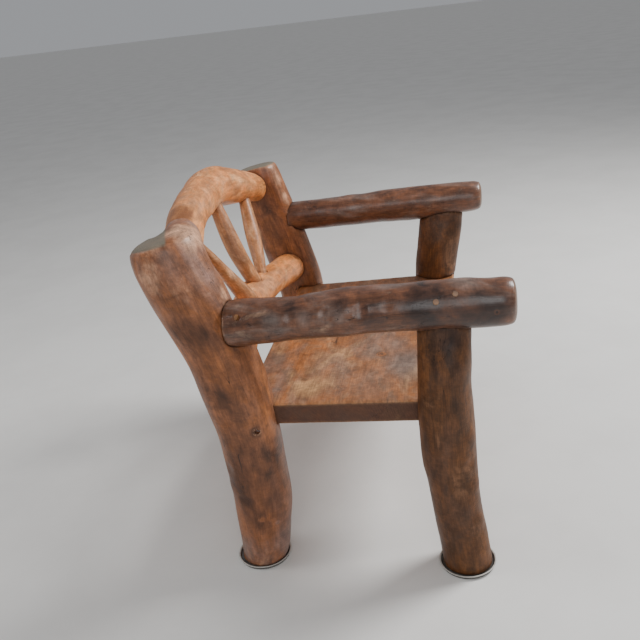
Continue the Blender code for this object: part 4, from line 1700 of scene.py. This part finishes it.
@dataclass
class Side:
    """One side of the chair: its post, front leg and arm, with their cups, plugs and screws."""

    side: str
    around: Surroundings
    seed: int

    PLUG_PLACES = ("leg_front", "leg_rear", "post")

    def line(self, screw: str) -> ScrewLine:
        """The line of one of this side's screws."""
        return ScrewLine.of(self.around.nodes[f"{screw}_{self.side}"])

    def build(self) -> None:
        """Makes every piece of the side."""
        seat_line = self.line("seat_screw")
        self.post(seat_line)
        self.leg()
        self.arm()
        foot = seat_line.head + seat_line.run * seat_line.length
        TurnedPart(
            f"seat_screw_{self.side}", f"screw_{self.side}", SCREW, SCREW_STEEL, "screw_steel",
            SCREW_HEAD_RADIUS, seat_line.length, seat_line.standing(foot),
        ).build()
        for end in ("front", "rear"):
            self.cup(end)

    def post(self, seat_line: ScrewLine) -> None:
        """Makes the back post, stained dark round its screw.

        Args:
            seat_line: The line of that screw.
        """
        side = self.side
        near_rail = () if side == "right" else ("top_rail",)
        rust = Mark(tuple(seat_line.out(MOUTH_HEIGHT)), 0.020, tone=-1.3)
        Log(
            f"back_post_{side}", Axis.Z, POST_WOOD,
            (f"arm_{side}", "seat_slab", "lower_rail", f"foot_cup_rear_{side}", *near_rail),
            cut=Cut.SAWN_FLAT, seed=self.seed, open_bores=(seat_line,), marks=(*POST_MARKS[side], rust),
            lumps=(Lump(0.13, 0.0030, 2.0), Lump(0.055, 0.0012, 1.3), Lump(0.024, 0.0003, 1.3)),
            swell=0.0012, lines=POST_LINES[side],
            collar=rail_collar(self.around) if side == "right" else None,
        ).build(self.around)

    def leg(self) -> None:
        """Makes the front leg."""
        side = self.side
        Log(
            f"front_leg_{side}", Axis.Z, LEG_WOOD, (f"arm_{side}", "seat_slab", f"foot_cup_front_{side}"),
            lumps=(Lump(0.09, 0.0028, 1.2), Lump(0.045, 0.0013, 1.1), Lump(0.022, 0.0003, 1.2)),
            seed=self.seed + 1, marks=LEG_MARKS[side], swell=0.0010,
        ).build(self.around)

    def arm(self) -> None:
        """Makes the arm and its plugs, and gives the screws under them their finish."""
        side = self.side
        arm = Log(
            f"arm_{side}", Axis.Y, ARM_WOOD, (f"back_post_{side}", f"front_leg_{side}"), seed=self.seed + 2,
            lumps=(Lump(0.10, 0.0018, 1.3), Lump(0.055, 0.0015, 0.8), Lump(0.026, 0.0003, 0.8)),
            plugged=tuple(self.line(f"arm_screw_{place}") for place in self.PLUG_PLACES),
            marks=ARM_MARKS[side], swell=0.0008, edge_reach=0.005, easing=2,
        )
        arm.build(self.around)
        for place, line, mouth in zip(self.PLUG_PLACES, arm.plugged, arm.mouths):
            TurnedPart(
                f"arm_plug_{place}_{side}", f"plug_{place}_{side}", PLUG, PLUG_WOOD, "plug_wood",
                PLUG_RADIUS, PLUG_HEIGHT, line.standing(mouth + line.run * PLUG_SEAT),
                wobble=0.03, seed=self.seed,
            ).build()
            materials = self.around.nodes[f"arm_screw_{place}_{side}"].data.materials
            materials.clear()
            materials.append(SCREW_STEEL.material())

    def cup(self, end: str) -> None:
        """Makes the foot cup under the front leg or the rear post.

        Args:
            end: front or rear.
        """
        node = f"foot_cup_{end}_{self.side}"
        low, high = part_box(node)
        place = Matrix.Translation(((low[0] + high[0]) / 2, (low[1] + high[1]) / 2, low[2]))
        TurnedPart(
            node, f"cup_{end}_{self.side}", CUP, CUP_PLASTIC, "cup_plastic",
            (high[0] - low[0]) / 2, high[2] - low[2], place,
        ).build()


@dataclass
class FanBack:
    """The arched top rail, the lower rail and the fan of spindles between them."""

    around: Surroundings

    SPINDLES = ("spindle_right", "spindle_middle", "spindle_left")
    POSTS = {"top_rail": ("back_post_left",), "lower_rail": ("back_post_right", "back_post_left")}
    FIRST_RAIL_SEED, FIRST_SPINDLE_SEED = 31, 41

    def build(self) -> None:
        """Makes the rails and the spindles."""
        for seed, (rail, posts) in enumerate(self.POSTS.items(), self.FIRST_RAIL_SEED):
            Log(
                rail, Axis.X, RAIL_WOOD, posts + self.SPINDLES, seed=seed, marks=RAIL_MARKS[rail],
                lumps=(Lump(0.08, 0.0022, 1.2), Lump(0.035, 0.0009, 1.1)),
            ).build(self.around)
        for seed, spindle in enumerate(self.SPINDLES, self.FIRST_SPINDLE_SEED):
            Log(
                spindle, Axis.Z, SPINDLE_WOOD, tuple(self.POSTS), voxel=0.0021, seed=seed,
                sanding=30, lumps=(Lump(0.06, 0.0011, 1.6), Lump(0.03, 0.0004, 1.5)), swell=0.0007,
            ).build(self.around)


@dataclass
class Armchair:
    """The whole chair."""

    around: Surroundings

    SIDE_SEEDS = {"right": 3, "left": 13}

    def build(self) -> None:
        """Makes every piece."""
        for side, seed in self.SIDE_SEEDS.items():
            Side(side, self.around, seed).build()
        FanBack(self.around).build()
        Slab(
            "seat_slab", Axis.X, SEAT_WOOD,
            ("back_post_right", "back_post_left", "front_leg_right", "front_leg_left"),
            record_slot="waxed_slab", voxel=0.0030, sanding=10, edge_reach=0.004, easing=1,
            lumps=(Lump(0.16, 0.0007, 1.6), Lump(0.05, 0.0002, 1.5)), swell=0.0002, seed=7, marks=SEAT_MARKS,
        ).build(self.around)


# The studio


@dataclass(frozen=True)
class Lamp:
    """One soft round light, turned to the chair's middle."""

    name: str
    place: Place
    size: float
    power: float

    AIM = Vector((0, 0, 0.4))

    def build(self) -> None:
        """Sets up the light."""
        data = bpy.data.lights.new(self.name, "AREA")
        data.shape = "DISK"
        data.size = self.size
        data.energy = self.power
        lamp = bpy.data.objects.new(self.name, data)
        lamp.location = self.place
        lamp.rotation_euler = (self.AIM - Vector(self.place)).to_track_quat("-Z", "Y").to_euler()
        bpy.context.collection.objects.link(lamp)
        lamp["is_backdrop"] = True


@dataclass(frozen=True)
class Studio:
    """A pale floor, soft lights and the camera at the photo's angle."""

    eye: Place = (-1.7564, -0.2731, 1.16)
    yaw_degrees: float = 11.221
    pitch_degrees: float = 22.394
    roll_degrees: float = 7.009
    lens: float = 42.93
    sensor_width: float = 36.0
    floor_reach: float = 60.0
    sky: tuple[float, float, float, float] = (0.80, 0.82, 0.86, 1)
    sky_strength: float = 0.42

    LAMPS = (
        Lamp("key", (1.1, -2.4, 2.9), 1.5, 155.0),
        Lamp("fill", (-3.2, -0.6, 2.0), 2.0, 30.0),
        Lamp("rim", (-0.8, 2.6, 2.2), 1.4, 24.0),
    )

    def build(self) -> None:
        """Sets up the stage, the lights and the camera."""
        self.floor()
        for lamp in self.LAMPS:
            lamp.build()
        world = bpy.data.worlds.new("studio")
        world.use_nodes = True
        backdrop = world.node_tree.nodes["Background"]
        backdrop.inputs["Color"].default_value = self.sky
        backdrop.inputs["Strength"].default_value = self.sky_strength
        bpy.context.scene.world = world
        self.camera()

    def floor(self) -> None:
        """A wide pale floor."""
        bm = bmesh.new()
        bmesh.ops.create_grid(bm, x_segments=1, y_segments=1, size=self.floor_reach)
        floor = new_object("studio_floor", bm)
        finish = PlainFinish("studio_floor", "#E6E4E0", "#E0DEDA", 0.75, grain_scale=3, bump=0.05)
        floor.data.materials.append(finish.material())
        floor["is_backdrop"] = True

    def camera(self) -> None:
        """The camera where the photo was taken from."""
        angles = (self.yaw_degrees, self.pitch_degrees, self.roll_degrees)
        yaw, pitch, roll = (math.radians(angle) for angle in angles)
        ahead = Vector((math.cos(pitch) * math.cos(yaw), math.cos(pitch) * math.sin(yaw), -math.sin(pitch)))
        level = Vector((math.sin(yaw), -math.cos(yaw), 0))
        down = ahead.cross(level)
        right = level * math.cos(roll) + down * math.sin(roll)
        below = down * math.cos(roll) - level * math.sin(roll)
        turn = Matrix((right, -below, -ahead)).transposed().to_4x4()
        data = bpy.data.cameras.new("photo_view")
        data.lens = self.lens
        data.sensor_width = self.sensor_width
        camera = bpy.data.objects.new("photo_view", data)
        camera.matrix_world = Matrix.Translation(self.eye) @ turn
        bpy.context.collection.objects.link(camera)
        bpy.context.scene.camera = camera


def main() -> None:
    """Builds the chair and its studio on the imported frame."""
    logging.basicConfig(level=logging.INFO, format="%(message)s")
    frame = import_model()
    before = [list(corner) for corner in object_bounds()]
    limits = (np.array(before[0]), np.array(before[1]))
    Armchair(Surroundings(frame["nodes"], limits)).build()
    Studio().build()


if __name__ == "__main__":
    main()
